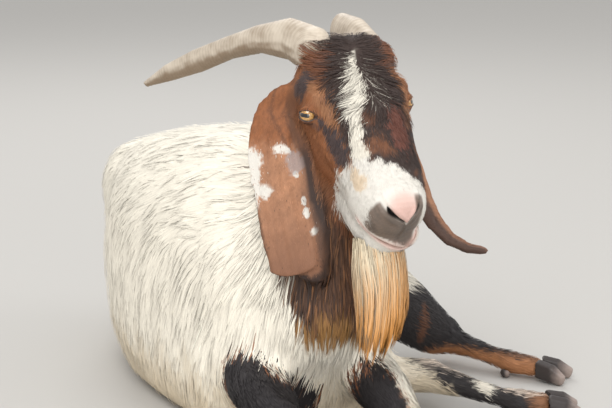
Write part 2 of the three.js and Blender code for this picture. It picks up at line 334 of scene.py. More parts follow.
def thicken_ear(mesh, node):
    """Makes an ear's lobe thick enough to keep its edges when it is joined to the rest."""
    places = np.array([vert.co for vert in mesh.verts])
    _, through, direction, share = ear_frame(places, node)
    hold = smooth(0.16, 0.3, share)[:, None] / 1000
    for vert, place in zip(mesh.verts, places + direction * (EAR_THICKEN * through)[:, None] * hold):
        vert.co = place


def remeshed(name, nodes, grain, swell):
    """One closed mesh round the named nodes, each swelled a little so that gaps between them close."""
    joined = bpy.data.meshes.new(name)
    whole = bmesh.new()
    for node in nodes:
        part = merged_copy(node)
        if node in EAR_RUNS:
            thicken_ear(part, node)
        for vert in part.verts:
            vert.co += vert.normal * swell
        part.to_mesh(joined)
        part.free()
        whole.from_mesh(joined)
    whole.to_mesh(joined)
    whole.free()
    obj = linked(name, joined)
    remesh = obj.modifiers.new("remesh", "REMESH")
    remesh.mode = "VOXEL"
    remesh.voxel_size = grain
    done = bpy.data.meshes.new_from_object(obj.evaluated_get(bpy.context.evaluated_depsgraph_get()))
    obj.modifiers.clear()
    obj.data = done
    return obj


def relax(places, edges, weights, passes, keep_size=True):
    """Evens a mesh out; keep_size undoes the shrinking after each pass."""
    count = np.maximum(np.bincount(edges.ravel(), minlength=len(places)), 1).astype(float)[:, None]

    def pass_over(values, share):
        total = np.zeros_like(values)
        for axis in range(3):
            total[:, axis] = np.bincount(edges[:, 0], values[edges[:, 1], axis], len(values))
            total[:, axis] += np.bincount(edges[:, 1], values[edges[:, 0], axis], len(values))
        return values + (total / count - values) * share * weights[:, None]

    for _ in range(passes):
        places = pass_over(places, 0.6)
        if keep_size:
            places = pass_over(places, -0.62)
    return places


def refine(mesh, chosen, cuts):
    """Cuts the faces whose centres are chosen into smaller ones."""
    work = bmesh.new()
    work.from_mesh(mesh)
    centres = np.array([face.calc_center_median() for face in work.faces])
    picked = chosen(centres)
    edges = {edge for face, pick in zip(work.faces, picked) if pick for edge in face.edges}
    bmesh.ops.subdivide_edges(work, edges=list(edges), cuts=cuts, use_grid_fill=True)
    work.to_mesh(mesh)
    work.free()


def hard_copy(name, node, grain, passes):
    """A CAD node's shape with its facets smoothed out."""
    obj = remeshed(name, [node], grain, 0.0)
    mesh = obj.data
    set_places(mesh, relax(places_of(mesh), edges_of(mesh), np.ones(len(mesh.vertices)), passes))
    shade_smooth(mesh)
    return obj


# ---------------------------------------------------------------- the skin
COAT_DEPTH = {  # mm between the skin and the tips of the coat
    "trunk": 7.5,
    "neck": 8.0,
    "head": 2.6,
    "ear_right": 0.9,
    "ear_left": 0.9,
    "foreleg_right": 4.5,
    "foreleg_left": 4.5,
    "hindleg_right": 4.5,
    "hindleg_left": 4.5,
    "tail": 9.0,
}


def short_neck(places):
    """1 on the upper neck, where the coat is as short as on the cheeks."""
    _, y, z = body_places(places).T
    return smooth(0.29, 0.36, z) * smooth(-0.10, -0.17, y)


def share_of(shares, *nodes):
    """How much each place belongs to any of the nodes."""
    return shares[:, [FLESH.index(node) for node in nodes]].sum(1)


def node_shares(places):
    """For each place, how much it belongs to each flesh node, by distance."""
    shares = np.zeros((len(places), len(FLESH)))
    for column, node in enumerate(FLESH):
        low, high = (np.array(corner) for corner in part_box(node))
        near = ((places > low - 0.04) & (places < high + 0.04)).all(1)
        part = merged_copy(node)
        tree = BVHTree.FromBMesh(part)
        part.free()
        for index in np.flatnonzero(near):
            distance = tree.find_nearest(places[index])[3]
            shares[index, column] = math.exp(-((distance / 0.009) ** 2)) + 1e-9
    return shares / np.maximum(shares.sum(1, keepdims=True), 1e-9)


def in_face(places):
    """True on the head before the ears, which needs smaller faces than the body."""
    forward, dorsal, left = head_places(places).T
    return (forward > -35) & (forward < 215) & (dorsal > -135) & (dorsal < 60) & (abs(left) < 88)


def in_fine_face(places):
    """True round the eyes and on the nose."""
    spot = head_places(places)
    eyes = [np.linalg.norm(places - np.array(eye), axis=1) < 0.021 for eye in EYES.values()]
    nose = (spot[:, 0] > 138) & (spot[:, 1] > -80) & (abs(spot[:, 2]) < 60)
    return eyes[0] | eyes[1] | nose


def in_near_ear(places):
    """True on the right ear, which hangs clear of the cheek."""
    low, high = (np.array(corner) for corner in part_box("ear_right"))
    near = ((places > low - 0.004) & (places < high + 0.004)).all(1)
    return near & (abs(head_places(places)[:, 2]) > 62)


EYE_OUT = {"right": (0.52, 0.62, -0.59), "left": (0.38, 0.50, 0.78)}  # the way each eye looks, on the head
EYE_AHEAD = {"right": (0.685, 0.48, 0.55), "left": (0.685, 0.48, -0.55)}  # towards its inner corner


def eye_axes(side):
    """Outward, forward and upward directions of an eye."""
    out, ahead = unit(head_vector(*EYE_OUT[side])), head_vector(*EYE_AHEAD[side])
    ahead = unit(ahead - out * (ahead @ out))
    up = np.cross(out, ahead)
    return out, ahead, up if up @ head_vector(-0.6, 0.8, 0) > 0 else -up


LID_HALF_WIDTH = 0.0124
LID_RISE = {"right": (0.0052, 0.0057), "left": (0.0040, 0.0042)}  # upper and lower lid, from the middle
LID_THICKNESS = 0.0011


def lid_places(places, side):
    """Each place against an eye's opening: share across, height, 1 at the lid's edge, and how it faces."""
    out, ahead, up = eye_axes(side)
    away = places - np.array(EYES[side])
    reach = np.linalg.norm(away, axis=1)
    direction = away / reach[:, None]
    x, y = (direction @ ahead) * EYE_RADIUS, (direction @ up) * EYE_RADIUS
    across = x / LID_HALF_WIDTH
    upper, lower = LID_RISE[side]
    half = np.where(y > 0, upper, lower) * (1 - np.clip(abs(across), 0, 1) ** 2.4)
    facing = direction @ out
    ratio = np.where((abs(across) < 1) & (facing > 0), abs(y) / np.maximum(half, 1e-5), 9)
    return across, y, ratio, facing, reach, direction


def shape_lids(places):
    """Pulls the skin over each eyeball, with an almond opening that sinks behind it."""
    for side in EYES:
        _, y, ratio, facing, reach, direction = lid_places(places, side)
        crease = 0.0011 * np.exp(-(((ratio - 1.5) / 0.15) ** 2)) * (y > 0)
        fold = 0.0013 * np.exp(-(((ratio - 1.95) / 0.3) ** 2)) * (y > 0)
        lid = EYE_RADIUS + LID_THICKNESS + 0.0007 * np.exp(-(((ratio - 1.14) / 0.16) ** 2)) + fold - crease
        hollow = EYE_RADIUS - 0.0035
        target = hollow + (lid - hollow) * smooth(0.94, 1.05, ratio)
        hold = (1 - smooth(0.8, 1.35, np.arccos(np.clip(facing, -1, 1)))) * (reach < 0.030)
        places = places + direction * ((target - reach) * hold)[:, None]
    return places


def rim_mask(places, edge=1.3):
    """1 on the dark edges of the lids and in the inner corners of the eyes."""
    rim = np.zeros(len(places))
    for side in EYES:
        across, _, ratio, facing, reach, _ = lid_places(places, side)
        near = (reach < EYE_RADIUS + 0.004) * (facing > -0.1)
        corner = np.exp(-(((across - 1.0) / 0.2) ** 2)) * (ratio < 3)
        rim = np.maximum(rim, near * np.maximum(1 - smooth(edge - 0.1, edge + 0.15, ratio), corner))
    return rim


def carve(places, normals, depth):
    """Places pushed into the skin, or out of it where the depth is below 0."""
    return places - normals * depth[:, None]


def from_groove(left):
    """How far each place is from the nose's groove, a little to the left, as a share of a nostril."""
    return np.where(left < 7, (7 - left) / 31, (left - 7) / 17)


def slit_line(left):
    """The height of the nostril slits, which fall from their outer ends to the groove."""
    return -38 + 26 * np.clip(from_groove(left), 0, 1.3) ** 0.9


def mouth_line(left):
    """The height of the mouth, which rises towards its corners."""
    return -92 + 34 * np.clip(np.where(left < 16, (16 - left) / 58, (left - 16) / 30), 0, 1.4) ** 1.15


def slit_mask(spot, spread=1.0):
    """1 in the nostril slits, wide at their outer ends."""
    forward, dorsal, left = spot.T
    out = from_groove(left)
    width = (1.6 + 1.9 * smooth(0.35, 0.85, out)) * spread
    reach = smooth(-0.05, 0.12, out) * (1 - smooth(0.82, 0.98, out)) * smooth(140, 150, forward)
    reach *= np.where(left < 7, 1.0, 0.55)
    return np.exp(-(((dorsal - slit_line(left)) / width) ** 2)) * reach


def lip_mask(spot, width):
    """1 along the mouth, width mm to either side of its line."""
    forward, dorsal, left = spot.T
    reach = smooth(132, 142, forward) * (1 - smooth(43, 50, abs(left)))
    return np.exp(-(((dorsal - mouth_line(left)) / width) ** 2)) * reach


SLIT_DEPTH, MOUTH_DEPTH, LIP_SWELL, PAD_SWELL = 0.0065, 0.0045, 0.0018, 0.0095


def shape_muzzle(places, normals):
    """Nostrils, the groove between them, the mouth and the bones of the face."""
    spot = head_places(places)
    forward, dorsal, left = spot.T
    side = abs(left)
    front = smooth(138, 150, forward)
    out = from_groove(left)
    edges = (1 - smooth(1.1, 1.35, out)) * front
    rim = np.exp(-(((dorsal - slit_line(left) - 8) / 4.5) ** 2)) * edges
    wing = np.exp(-(((dorsal - slit_line(left) + 9) / 5) ** 2)) * smooth(0.15, 0.5, out) * edges
    places = carve(places, normals, SLIT_DEPTH * slit_mask(spot) - 0.0014 * rim - 0.0018 * wing)
    groove = np.exp(-(((left - 5) / 1.5) ** 2)) * front
    groove = groove * smooth(-84, -78, dorsal) * (1 - smooth(-38, -32, dorsal))
    places = carve(places, normals, 0.0018 * groove)
    places = carve(places, normals, MOUTH_DEPTH * lip_mask(spot, 1.6) - LIP_SWELL * lip_mask(spot, 7.0))
    bone = np.exp(-(((dorsal + 34 + 0.05 * forward) / 9) ** 2))
    bone = bone * smooth(10, 30, forward) * (1 - smooth(84, 112, forward))
    hollow = np.exp(-(((dorsal + 60) / 16) ** 2)) * smooth(46, 70, forward) * (1 - smooth(100, 120, forward))
    mirrored = np.stack([forward, dorsal, -side], 1)
    ridge = np.exp(-(((mirrored - (-2, 2, -60)) / (24, 11, 10)) ** 2).sum(1))
    bag = np.exp(-(((mirrored - (18, -28, -72)) / (12, 6, 12)) ** 2).sum(1))
    places = carve(places, normals, -0.0026 * ridge - 0.0016 * bag)
    pad = np.exp(-(((left - 33) / 15) ** 2) - ((dorsal + 84) / 14) ** 2) * smooth(118, 140, forward)
    places = carve(places, normals, -PAD_SWELL * pad)
    flank = smooth(22, 40, side)
    places = carve(places, normals, (0.0040 * hollow - 0.0024 * bone) * flank)
    folds = np.sin(forward / 2.6 + 0.05 * dorsal)
    folds = folds * smooth(112, 124, forward) * (1 - smooth(138, 146, forward))
    return carve(places, normals, 0.0003 * folds * smooth(-40, -24, dorsal))


def shape_ears(places):
    """Thins the ears and gives them a shallow cup and lengthwise creases."""
    for node in EAR_RUNS:
        low, high = (np.array(corner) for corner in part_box(node))
        across, through, direction, share = ear_frame(places, node)
        inside = ((places > low - 0.012) & (places < high + 0.012)).all(1)
        inside = inside & (abs(across) < 50) & (abs(through) < 24)
        hold = inside * smooth(0.14, 0.32, share)
        crease = 0.9 * np.sin(across / 4.2 + 5 * share) + 0.6 * np.sin(across / 2.3 - 9 * share)
        target = through * EAR_THIN[node] + EAR_SHIFT[node] + crease * (1 - smooth(26, 36, abs(across)))
        places = places + direction * ((target - through) * hold / 1000)[:, None]
    return places


def coat_depths(places, shares):
    """How deep the skin lies under the tips of the coat."""
    depths = shares @ np.array([COAT_DEPTH[node] for node in FLESH]) / 1000
    depths *= 1 - 0.7 * share_of(shares, "neck") * short_neck(places)
    across, through, _, share = ear_frame(places, "ear_right")
    beside = (1 - smooth(44, 60, abs(across))) * (1 - smooth(12, 26, abs(through))) * smooth(0.25, 0.4, share)
    return depths + 0.007 * beside * (1 - share_of(shares, "ear_right")) * (1 - share_of(shares, "head"))


def make_skin(settings):
    """The skin under the coat: joined and rounded, sunk by the coat's depth, refined and carved."""
    obj = remeshed("skin", [*FLESH, "eye_right", "eye_left"], settings.grain, JOIN_SWELL)
    mesh = obj.data
    places, edges = places_of(mesh), edges_of(mesh)
    shares = node_shares(places)
    bulk = np.clip(share_of(shares, "trunk", "neck") * 1.2, 0, 1)
    places = relax(places, edges, bulk, settings.rounding, keep_size=False)
    places = relax(places, edges, 1 - 0.9 * share_of(shares, *EAR_RUNS), 12)
    set_places(mesh, places)
    set_places(mesh, carve(places, normals_of(mesh), coat_depths(places, shares)))
    refine(mesh, in_face, 2)
    refine(mesh, in_fine_face, 1)
    refine(mesh, in_near_ear, 1)
    places = places_of(mesh)
    fine = np.maximum(in_face(places).astype(float), in_near_ear(places) * 0.9)
    places = relax(places, edges_of(mesh), fine, 8)
    set_places(mesh, places)
    places = shape_muzzle(places, normals_of(mesh))
    places = shape_lids(shape_ears(places))
    places[:, 2] = np.maximum(places[:, 2], FLOOR_GAP)
    set_places(mesh, places)
    shade_smooth(mesh)
    return obj


class Hide:
    """The skin as triangles that roots are drawn from and tufts are pressed against."""

    def __init__(self, obj, shares):
        mesh = obj.data
        mesh.calc_loop_triangles()
        count = len(mesh.loop_triangles)
        corners, loops = np.empty(count * 3, np.int32), np.empty(count * 3, np.int32)
        mesh.loop_triangles.foreach_get("vertices", corners)
        mesh.loop_triangles.foreach_get("loops", loops)
        self.triangles = corners.reshape(-1, 3)
        self.places, self.normals, self.shares = places_of(mesh), normals_of(mesh), shares
        unwrap = np.empty(len(mesh.loops) * 2, np.float32)
        mesh.uv_layers["OFBake"].uv.foreach_get("vector", unwrap)
        self.unwrap = unwrap.reshape(-1, 2)[loops].reshape(-1, 3, 2).astype(float)
        a, b, c = (self.places[self.triangles[:, i]] for i in range(3))
        self.centres = (a + b + c) / 3
        self.areas = np.linalg.norm(np.cross(b - a, c - a), axis=1) / 2
        self.tree = BVHTree.FromPolygons(self.places.tolist(), self.triangles.tolist(), all_triangles=True)
        self.face_shares = shares[self.triangles].mean(1)
        self.bare = bareness(self.centres)

    def roots(self, weights, density, rng):
        """Places spread over the skin, density to a square metre where the weight is 1."""
        chance = self.areas * weights
        count = int(chance.sum() * density)
        picks = rng.choice(len(chance), count, p=chance / chance.sum())
        u, v = rng.random((2, count))
        flip = u + v > 1
        u, v = np.where(flip, 1 - u, u), np.where(flip, 1 - v, v)
        mix = np.stack([1 - u - v, u, v], 1)[:, :, None]
        corners = self.triangles[picks]
        return {
            "place": (self.places[corners] * mix).sum(1),
            "normal": unit((self.normals[corners] * mix).sum(1)),
            "shares": (self.shares[corners] * mix).sum(1),
            "uv": (self.unwrap[picks] * mix).sum(1),
        }

    def press(self, places):
        """The nearest places on the skin, the skin's direction there and how much of it is ear."""
        found = [self.tree.find_nearest(place) for place in places.tolist()]
        on_skin = np.array([hit[0] for hit in found])
        corners = self.triangles[[hit[2] for hit in found]]
        ears = self.shares[corners][:, :, [FLESH.index(node) for node in EAR_RUNS]].sum(2).mean(1)
        return on_skin, unit(self.normals[corners].sum(1)), ears


# ---------------------------------------------------------------- the lie of the coat
def head_lie(places):
    """Parted along the brow, down the face, back over the poll, and down and back over the cheeks."""
    forward, dorsal, left = head_places(places).T
    side = smooth(34, 56, abs(left))
    low = smooth(-30, -70, dorsal)
    behind = smooth(-66, -92, forward)
    brow = smooth(60, 10, forward)
    ahead = (1 - side * 0.5) * (1 - 1.8 * behind) - 0.45 * brow * (1 - side)
    ahead = ahead - 0.9 * low * (1 - smooth(70, 110, forward))
    down = -0.25 - 0.75 * side - 0.4 * low + 0.2 * brow * (1 - side)
    outward = np.tanh((left - 4) / 9) * (0.25 + 0.75 * brow) * (1 - side)
    lie = np.stack([outward, -ahead, down], 1) @ TURN.T
    for eye in EYES.values():
        away = places - np.array(eye)
        reach = np.linalg.norm(away, axis=1)
        lie += unit(away) * (1.3 * np.exp(-((reach / 0.019) ** 2)))[:, None]
    for horn in (-HORN_ASIDE, HORN_ASIDE):
        toward = head_point(HORN_BACK - 4, HORN_UP + 2, horn) - places
        pull = np.exp(-((np.linalg.norm(toward, axis=1) / 0.052) ** 4)) * smooth(-86, -70, forward)
        lie += unit(toward) * (1.6 * pull)[:, None]
    return lie


def lie_of(places, shares):
    """The direction in which the coat lies at each place."""
    x, y, z = body_places(places).T
    high = smooth(0.15, 0.36, z)
    chest = smooth(-0.17, -0.27, y)
    rump = smooth(0.28, 0.42, y)
    side = np.tanh(x / 0.07)
    back = 0.22 + 0.95 * high * (1 - chest) - 0.25 * chest
    trunk = np.stack([side * (0.25 + 0.35 * high), back, -1.0 + 0.6 * high - 0.5 * rump], 1)
    neck = np.stack([0.2 * side, 0.35 * smooth(-0.30, -0.2, y), -np.ones(len(places))], 1)
    tail = np.tile((0, 0.3, -1.0), (len(places), 1))
    lies = {"trunk": trunk, "neck": neck, "head": head_lie(places), "tail": tail}
    total = np.zeros_like(places)
    for column, node in enumerate(FLESH):
        lie = lies.get(node)
        if lie is None:
            lie = along_run(places, {**LEG_RUNS, **EAR_RUNS}[node])
        total += unit(lie) * shares[:, column : column + 1]
    return unit(total)


def turned(vectors, axes, angles):
    """Vectors turned about their axes."""
    cos, sin = np.cos(angles)[:, None], np.sin(angles)[:, None]
    return vectors * cos + np.cross(axes, vectors) * sin


def tuft_paths(hide, roots, length, height, steps, rng, sway=0.3, free=0.0):
    """Paths from the roots along the lie, close to the skin, and the skin's direction at each point."""
    place, normal, shares = roots["place"], roots["normal"], roots["shares"]
    wave = ripple(place, 0.035, 11) * sway + ripple(place, 0.12, 12) * sway
    wave = wave + rng.normal(0, sway * 0.45, len(place))
    paths, normals = [place - normal * 0.0006], [normal]
    on_skin, hanging = place, place
    for step in range(1, steps + 1):
        lie = lie_of(on_skin, shares)
        lie = unit(lie - normal * (lie * normal).sum(1, keepdims=True))
        lie = turned(lie, normal, wave * (0.7 + 0.3 * step / steps))
        stride = lie * (length / steps)[:, None]
        on_skin, normal, ears = hide.press(on_skin + stride)
        share = step / steps
        lifted = on_skin + normal * (height * share**0.7)[:, None]
        if free:
            drop = stride * 0.6 + np.array((0, 0, -0.5)) * (length / steps)[:, None]
            hanging = hanging + drop + normal * (height / steps * 0.8)[:, None]
            lifted = lifted + (hanging - lifted) * free
        lifted[:, 2] = np.maximum(lifted[:, 2], 0.0012 + 0.002 * (1 - share))
        paths.append(lifted)
        normals.append(normal)
    return np.stack(paths, 1), np.stack(normals, 1), ears


def gathered(paths, pull, every, rng):
    """Tufts drawn together at their tips, round every so many of them, as locks."""
    guides = rng.choice(len(paths), max(1, len(paths) // every), replace=False)
    tree = KDTree(len(guides))
    for index, guide in enumerate(guides):
        tree.insert(paths[guide, 0], index)
    tree.balance()
    nearest = guides[[tree.find(root)[1] for root in paths[:, 0].tolist()]]
    share = np.linspace(0, 1, paths.shape[1])[None, :, None] ** 1.4
    drawn = paths + (paths[nearest] - paths) * share * pull
    drawn[:, -1] = paths[:, -1] + (drawn[:, -1] - paths[:, -1]) * 0.9
    return drawn


TUFT_PATCH = np.array([0.0011, 0.003])  # half width and height of a tuft's patch of the unwrap


def tuft_mesh(name, paths, normals, width, colours, uv, tips=None):
    """Closed three-sided tufts, widest near the root, each with its own small patch of the unwrap."""
    count, rings = paths.shape[0], paths.shape[1] - 1
    tangents = unit(np.diff(paths, axis=1))
    across = unit(np.cross(tangents, normals[:, :rings]))
    up = np.cross(across, tangents)
    share = np.arange(rings) / rings
    swell = (0.75 + 0.5 * share) * (1 - share**2.2 * 0.55)
    half = width[:, None, None] / 2 * swell[None, :, None]
    body = paths[:, :rings]
    left, ridge, right = body - across * half, body + up * half * 0.5, body + across * half
    verts = np.concatenate([np.stack([left, ridge, right], 2).reshape(count, -1, 3), paths[:, -1:]], 1)
    size = verts.shape[1]
    faces = [(0, 2, 1)]
    for ring in range(rings - 1):
        a = 3 * ring
        faces += [(a, a + 1, a + 4), (a, a + 4, a + 3), (a + 1, a + 2, a + 5), (a + 1, a + 5, a + 4)]
        faces += [(a + 2, a, a + 3), (a + 2, a + 3, a + 5)]
    a, tip = 3 * (rings - 1), size - 1
    faces += [(a, a + 1, tip), (a + 1, a + 2, tip), (a + 2, a, tip)]
    triangles = (np.array(faces)[None] + (np.arange(count) * size)[:, None, None]).reshape(-1, 3)
    obj = mesh_object(name, verts.reshape(-1, 3), triangles)
    facing = normals[:, :rings]
    fan = [unit(facing + across * lean) for lean in (-0.45, 0.0, 0.45)]
    fan = np.concatenate([np.stack(fan, 2).reshape(count, -1, 3), normals[:, -1:]], 1)
    obj.data.normals_split_custom_set_from_vertices(fan.reshape(-1, 3))
    along = np.append(np.repeat(share, 3), 1.0)
    set_attribute(obj.data, "along", np.tile(along, count), "FLOAT")
    tints = np.repeat(colours, size, 0)
    if tips is not None:
        tints = tints + (np.repeat(tips, size, 0) - tints) * np.tile(along, count)[:, None]
    set_attribute(obj.data, "coat", opaque(tints), "FLOAT_COLOR")
    patch_across = np.append(np.tile([-1.0, 0.0, 1.0], rings), 0.0)
    patch_along = along + np.append(np.tile([0.0, -0.12, 0.0], rings), 0.0)
    patch = np.stack([patch_across, patch_along - 0.5], 1) * TUFT_PATCH
    places = np.clip(uv[:, None] + patch[None], 0, 1).reshape(-1, 2)
    layer = obj.data.uv_layers.new(name="OFBake")
    layer.uv.foreach_set("vector", places[triangles.ravel()].astype(np.float32).ravel())
    return obj


# ---------------------------------------------------------------- the markings
def streak(places, run, ragged=0.0, noise=None):
    """1 along a run of (place, reach) points, with a soft ragged edge."""
    best = np.full(len(places), 9.0)
    for (start, reach_a), (end, reach_b) in zip(run, run[1:]):
        start, stretch = np.array(start, float), np.array(end, float) - np.array(start, float)
        t = np.clip((places - start) @ stretch / (stretch @ stretch), 0, 1)
        gap = np.linalg.norm(places - start - t[:, None] * stretch, axis=1)
        best = np.minimum(best, gap / (reach_a + (reach_b - reach_a) * t))
    if noise is not None:
        best = best + ragged * noise
    return 1 - smooth(0.8, 1.2, best)


BLAZE = [  # places on the head and how far each reaches, in mm
    ((-58, 25, 2), 2),
    ((-46, 21, -8), 7),
    ((-23, 20, -12), 10),
    ((2, 22, -16), 14),
    ((14, 18, -22), 13),
    ((29, 15, -29), 9),
    ((49, 14, -29), 8),
    ((66, 6, -36), 8),
    ((88, 3, -37), 13),
]
BROW_STREAK = [((-34, -4, -60), 7), ((4, 0, -54), 9), ((32, -1, -49), 6)]
DARK_CHEEK = [((18, -14, -60), 7), ((38, -14, -56), 12), ((58, -16, -54), 15), ((76, -19, -51), 12)]


def brow_colour(places, coat, fine, broad):
    """Umber forehead, chestnut cheeks with dark streaks, and a white blaze off the middle."""
    spot = head_places(places)
    forward, dorsal, left = spot.T
    side = abs(left)
    mirrored = np.stack([forward, dorsal, -side], 1)
    colours = np.tile(coat.umber, (len(places), 1))
    colours = paint(colours, 0.55 * smooth(0.0, 0.8, broad) * smooth(20, 60, forward), coat.chestnut)
    maroon, rust = np.array(coat.chestnut) * (0.55, 0.5, 0.9), np.array(coat.chestnut) * (0.7, 0.7, 0.9)
    colours = paint(colours, 0.9 * blob(spot, (66, 14, 24), (34, 14, 15), 0.4, fine), maroon)
    cheek = smooth(42, 54, side - 0.3 * (dorsal + 10) + 5 * fine)
    colours = paint(colours, cheek, coat.chestnut)
    colours = paint(colours, 0.5 * smooth(-0.2, 0.9, fine) * cheek * smooth(-60, -10, dorsal), coat.tan)
    colours = paint(colours, 0.7 * blob(mirrored, (-62, 10, -50), (26, 24, 14), 0.4, fine), rust)
    colours = paint(colours, 0.9 * blob(mirrored, (-46, -18, -66), (18, 23, 18), 0.3, fine), coat.slate)
    colours = paint(colours, 0.9 * streak(mirrored, DARK_CHEEK, 0.35, fine), coat.slate)
    colours = paint(colours, 0.95 * streak(mirrored, BROW_STREAK, 0.3, fine), coat.tan)
    strands = ripple(places, 0.003, 14, 2)
    grizzled = blob(spot, (-4, 20, 12), (34, 20, 16), 0.4, fine) * smooth(0.3, 0.9, strands)
    white = 0.9 * streak(spot, BLAZE, 0.35, fine + 0.5 * strands)
    return paint(colours, np.maximum(white, 0.5 * grizzled), coat.cream)


def nose_pads(spot, fine):
    """1 on the dark pads under the nostrils and on the left wing of the nose."""
    forward, dorsal, left = spot.T
    front = smooth(146, 152, forward)
    below = smooth(1, -4, dorsal - slit_line(left)) * smooth(-3, 1, dorsal + 76 + 0.62 * left + 2 * fine)
    pad = below * smooth(-42, -37, left + 2 * fine) * (1 - smooth(24, 30, left)) * front
    wing = smooth(14, 18, left) * (1 - smooth(26, 30, left))
    wing = wing * smooth(-40, -30, dorsal) * (1 - smooth(-8, -2, dorsal))
    return np.maximum(pad, wing * front)


def muzzle_colour(colours, places, coat, fine, broad):
    """Lays the white muzzle, its stains, the bare pink nose and the lips over the face's colours, with
    painted shade along the mouth line.
    """
    spot = head_places(places)
    forward, dorsal, left = spot.T
    edge = 113 + 0.62 * np.clip(left, -46, 46) - 0.2 * np.clip(-20 - dorsal, 0, 76) + 5 * fine + 3 * broad
    edge = edge + 1.1 * np.maximum(-96 - dorsal, 0) * smooth(4, 26, abs(left))
    colours = paint(colours, smooth(-3, 4, forward - edge), coat.muzzle)
    stain = np.array(coat.gold) * (1.0, 1.2, 1.6)
    colours = paint(colours, 0.5 * blob(spot, (112, -15, -47), (17, 11, 13), 0.3, fine), stain)
    nose = np.exp(-(((spot - (156, -6, 0)) / (15, 16, 23)) ** 2).sum(1) * 1.2)
    colours = paint(colours, 0.85 * smooth(0.15, 0.95, nose), coat.pink)
    between = smooth(146, 152, forward) * smooth(-2, 1, dorsal - slit_line(left))
    between = between * (1 - smooth(0.7, 0.9, from_groove(left))) * smooth(-3, -14, dorsal)
    colours = paint(colours, between, coat.pink)
    shade = 1 + 0.3 * fine - 0.35 * np.exp(-(((left - 8) / 12) ** 2))
    colours = paint(colours, 0.92 * nose_pads(spot, fine), np.array(coat.leather) * shade[:, None])
    colours = paint(colours, 0.9 * lip_mask(spot, 4.5 + 2.0 * smooth(-20, 5, left)), coat.pink)
    # painted shade along the mouth line, between the lips
    colours = paint(colours, 0.8 * lip_mask(spot, 1.1), np.array(coat.chestnut) * 0.6)
    return paint(colours, 0.6 * blob(spot, (165, -113, -10), (16, 9, 18), 0.3, fine), coat.gold)


def face_colour(places, coat, fine, broad):
    """The brow and the muzzle, with dark rims to the eyes and painted shade in the nostril slits."""
    spot = head_places(places)
    mirrored = np.stack([spot[:, 0], spot[:, 1], -abs(spot[:, 2])], 1)
    colours = brow_colour(places, coat, fine, broad)
    colours = muzzle_colour(colours, places, coat, fine, broad)
    colours = paint(colours, 0.5 * blob(mirrored, (17, -26, -74), (11, 8, 12), 0.2, fine), coat.slate)
    colours = paint(colours, 0.9 * rim_mask(places, 1.2), coat.black)
    # painted shade: the nostril slits darker than black
    return paint(colours, smooth(0.2, 0.55, slit_mask(spot, 1.2)), np.array(coat.black) * 0.4)


def bareness(places):
    """1 on the bare skin round the nostrils, along the lips and on the lids."""
    spot = head_places(places)
    forward, dorsal, left = spot.T
    nose = smooth(136, 146, forward) * smooth(-84, -76, dorsal) * (1 - smooth(30, 38, abs(left)))
    return np.maximum.reduce([nose, lip_mask(spot, 3.5), rim_mask(places, 1.45)])


EAR_WHITES = [  # mm from the goat's middle, on the right ear
    ((-106, -252, 406), (10, 30, 16)),
    ((-104, -258, 390), (6, 30, 10)),
    ((-99, -263, 368), (10, 30, 9)),
    ((-106, -262, 378), (5, 30, 26)),
    ((-73, -270, 421), (10, 30, 6)),
    ((-58, -285, 389), (4, 30, 4)),
    ((-52, -294, 356), (3, 30, 5)),
    ((-51, -298, 343), (4, 30, 6)),
    ((-44, -308, 319), (4, 30, 6)),
]


def ear_colour(places, node, coat, fine, broad):
    """Chestnut at the root, tan lobes with a dark rim, and the right one's white patches along its edges,
    with painted shade in the creases, in the folds at the root and over the right lobe's inner face.
    """
    across, through, _, share = ear_frame(places, node)
    # painted shade: the colour is darker along the lengthwise creases
    crease_shade = np.exp(-((np.sin(across / 8.4 + 2.5 * share) / 0.16) ** 2))
    wrinkle_and_crease_shade = ripple(places * (1.0, 1.0, 0.4), 0.0045, 31) - 0.8 * crease_shade
    colours = np.tile(coat.ear, (len(places), 1)) * (1 + 0.14 * broad + 0.08 * fine + 0.13 * wrinkle_and_crease_shade)[:, None]
    root = 1 - smooth(0.26, 0.40, share + 0.03 * fine)
    colours = paint(colours, root, np.array(coat.chestnut) * (1 + 0.2 * wrinkle_and_crease_shade)[:, None])
    # painted shade in two folds at the ear's root
    fold = np.exp(-(((across + 26 - 130 * share) / 2.6) ** 2))
    fold = fold + np.exp(-(((across + 2 - 90 * share) / 2.0) ** 2))
    colours = paint(colours, 0.45 * fold * (1 - smooth(0.28, 0.4, share)), coat.umber)
    colours = paint(colours, 0.85 * smooth(0.5, 1.0, share), np.array(coat.ear) * (0.56, 0.54, 0.58))
    if node == "ear_right":
        spot = body_places(places) * 1000
        for centre, radii in EAR_WHITES:
            colours = paint(colours, blob(spot, centre, radii, 0.35, fine), coat.muzzle)
        colours = paint(colours, 0.6 * blob(spot, (-57, -283, 404), (12, 30, 15), 0.3, fine), coat.ash)
        # painted shade over the right lobe's inner face, towards the neck
        colours = paint(colours, smooth(-1.5, 1.5, through) * smooth(0.34, 0.46, share), coat.umber)
    else:
        dark_side = 0.9 * smooth(-5, 7, across) * smooth(0.35, 0.5, share)
        colours = paint(colours, dark_side, np.array(coat.umber) * 1.6)
    rim = smooth(31, 35, abs(across)) * smooth(0.5, 0.7, share)
    return paint(colours, 0.6 * rim, coat.umber)


THROAT_LEVELS = [0.16, 0.233, 0.28, 0.33, 0.38, 0.44]  # heights, and where the dark throat starts there
THROAT_FRONT = [-0.272, -0.262, -0.245, -0.20, -0.14, -0.09]
SHANK_CREST = ([0.17, 0.212, 0.26, 0.306], [0.075, 0.071, 0.055, 0.042])  # x and z of the right hind shank's top edge, where a highlight is painted
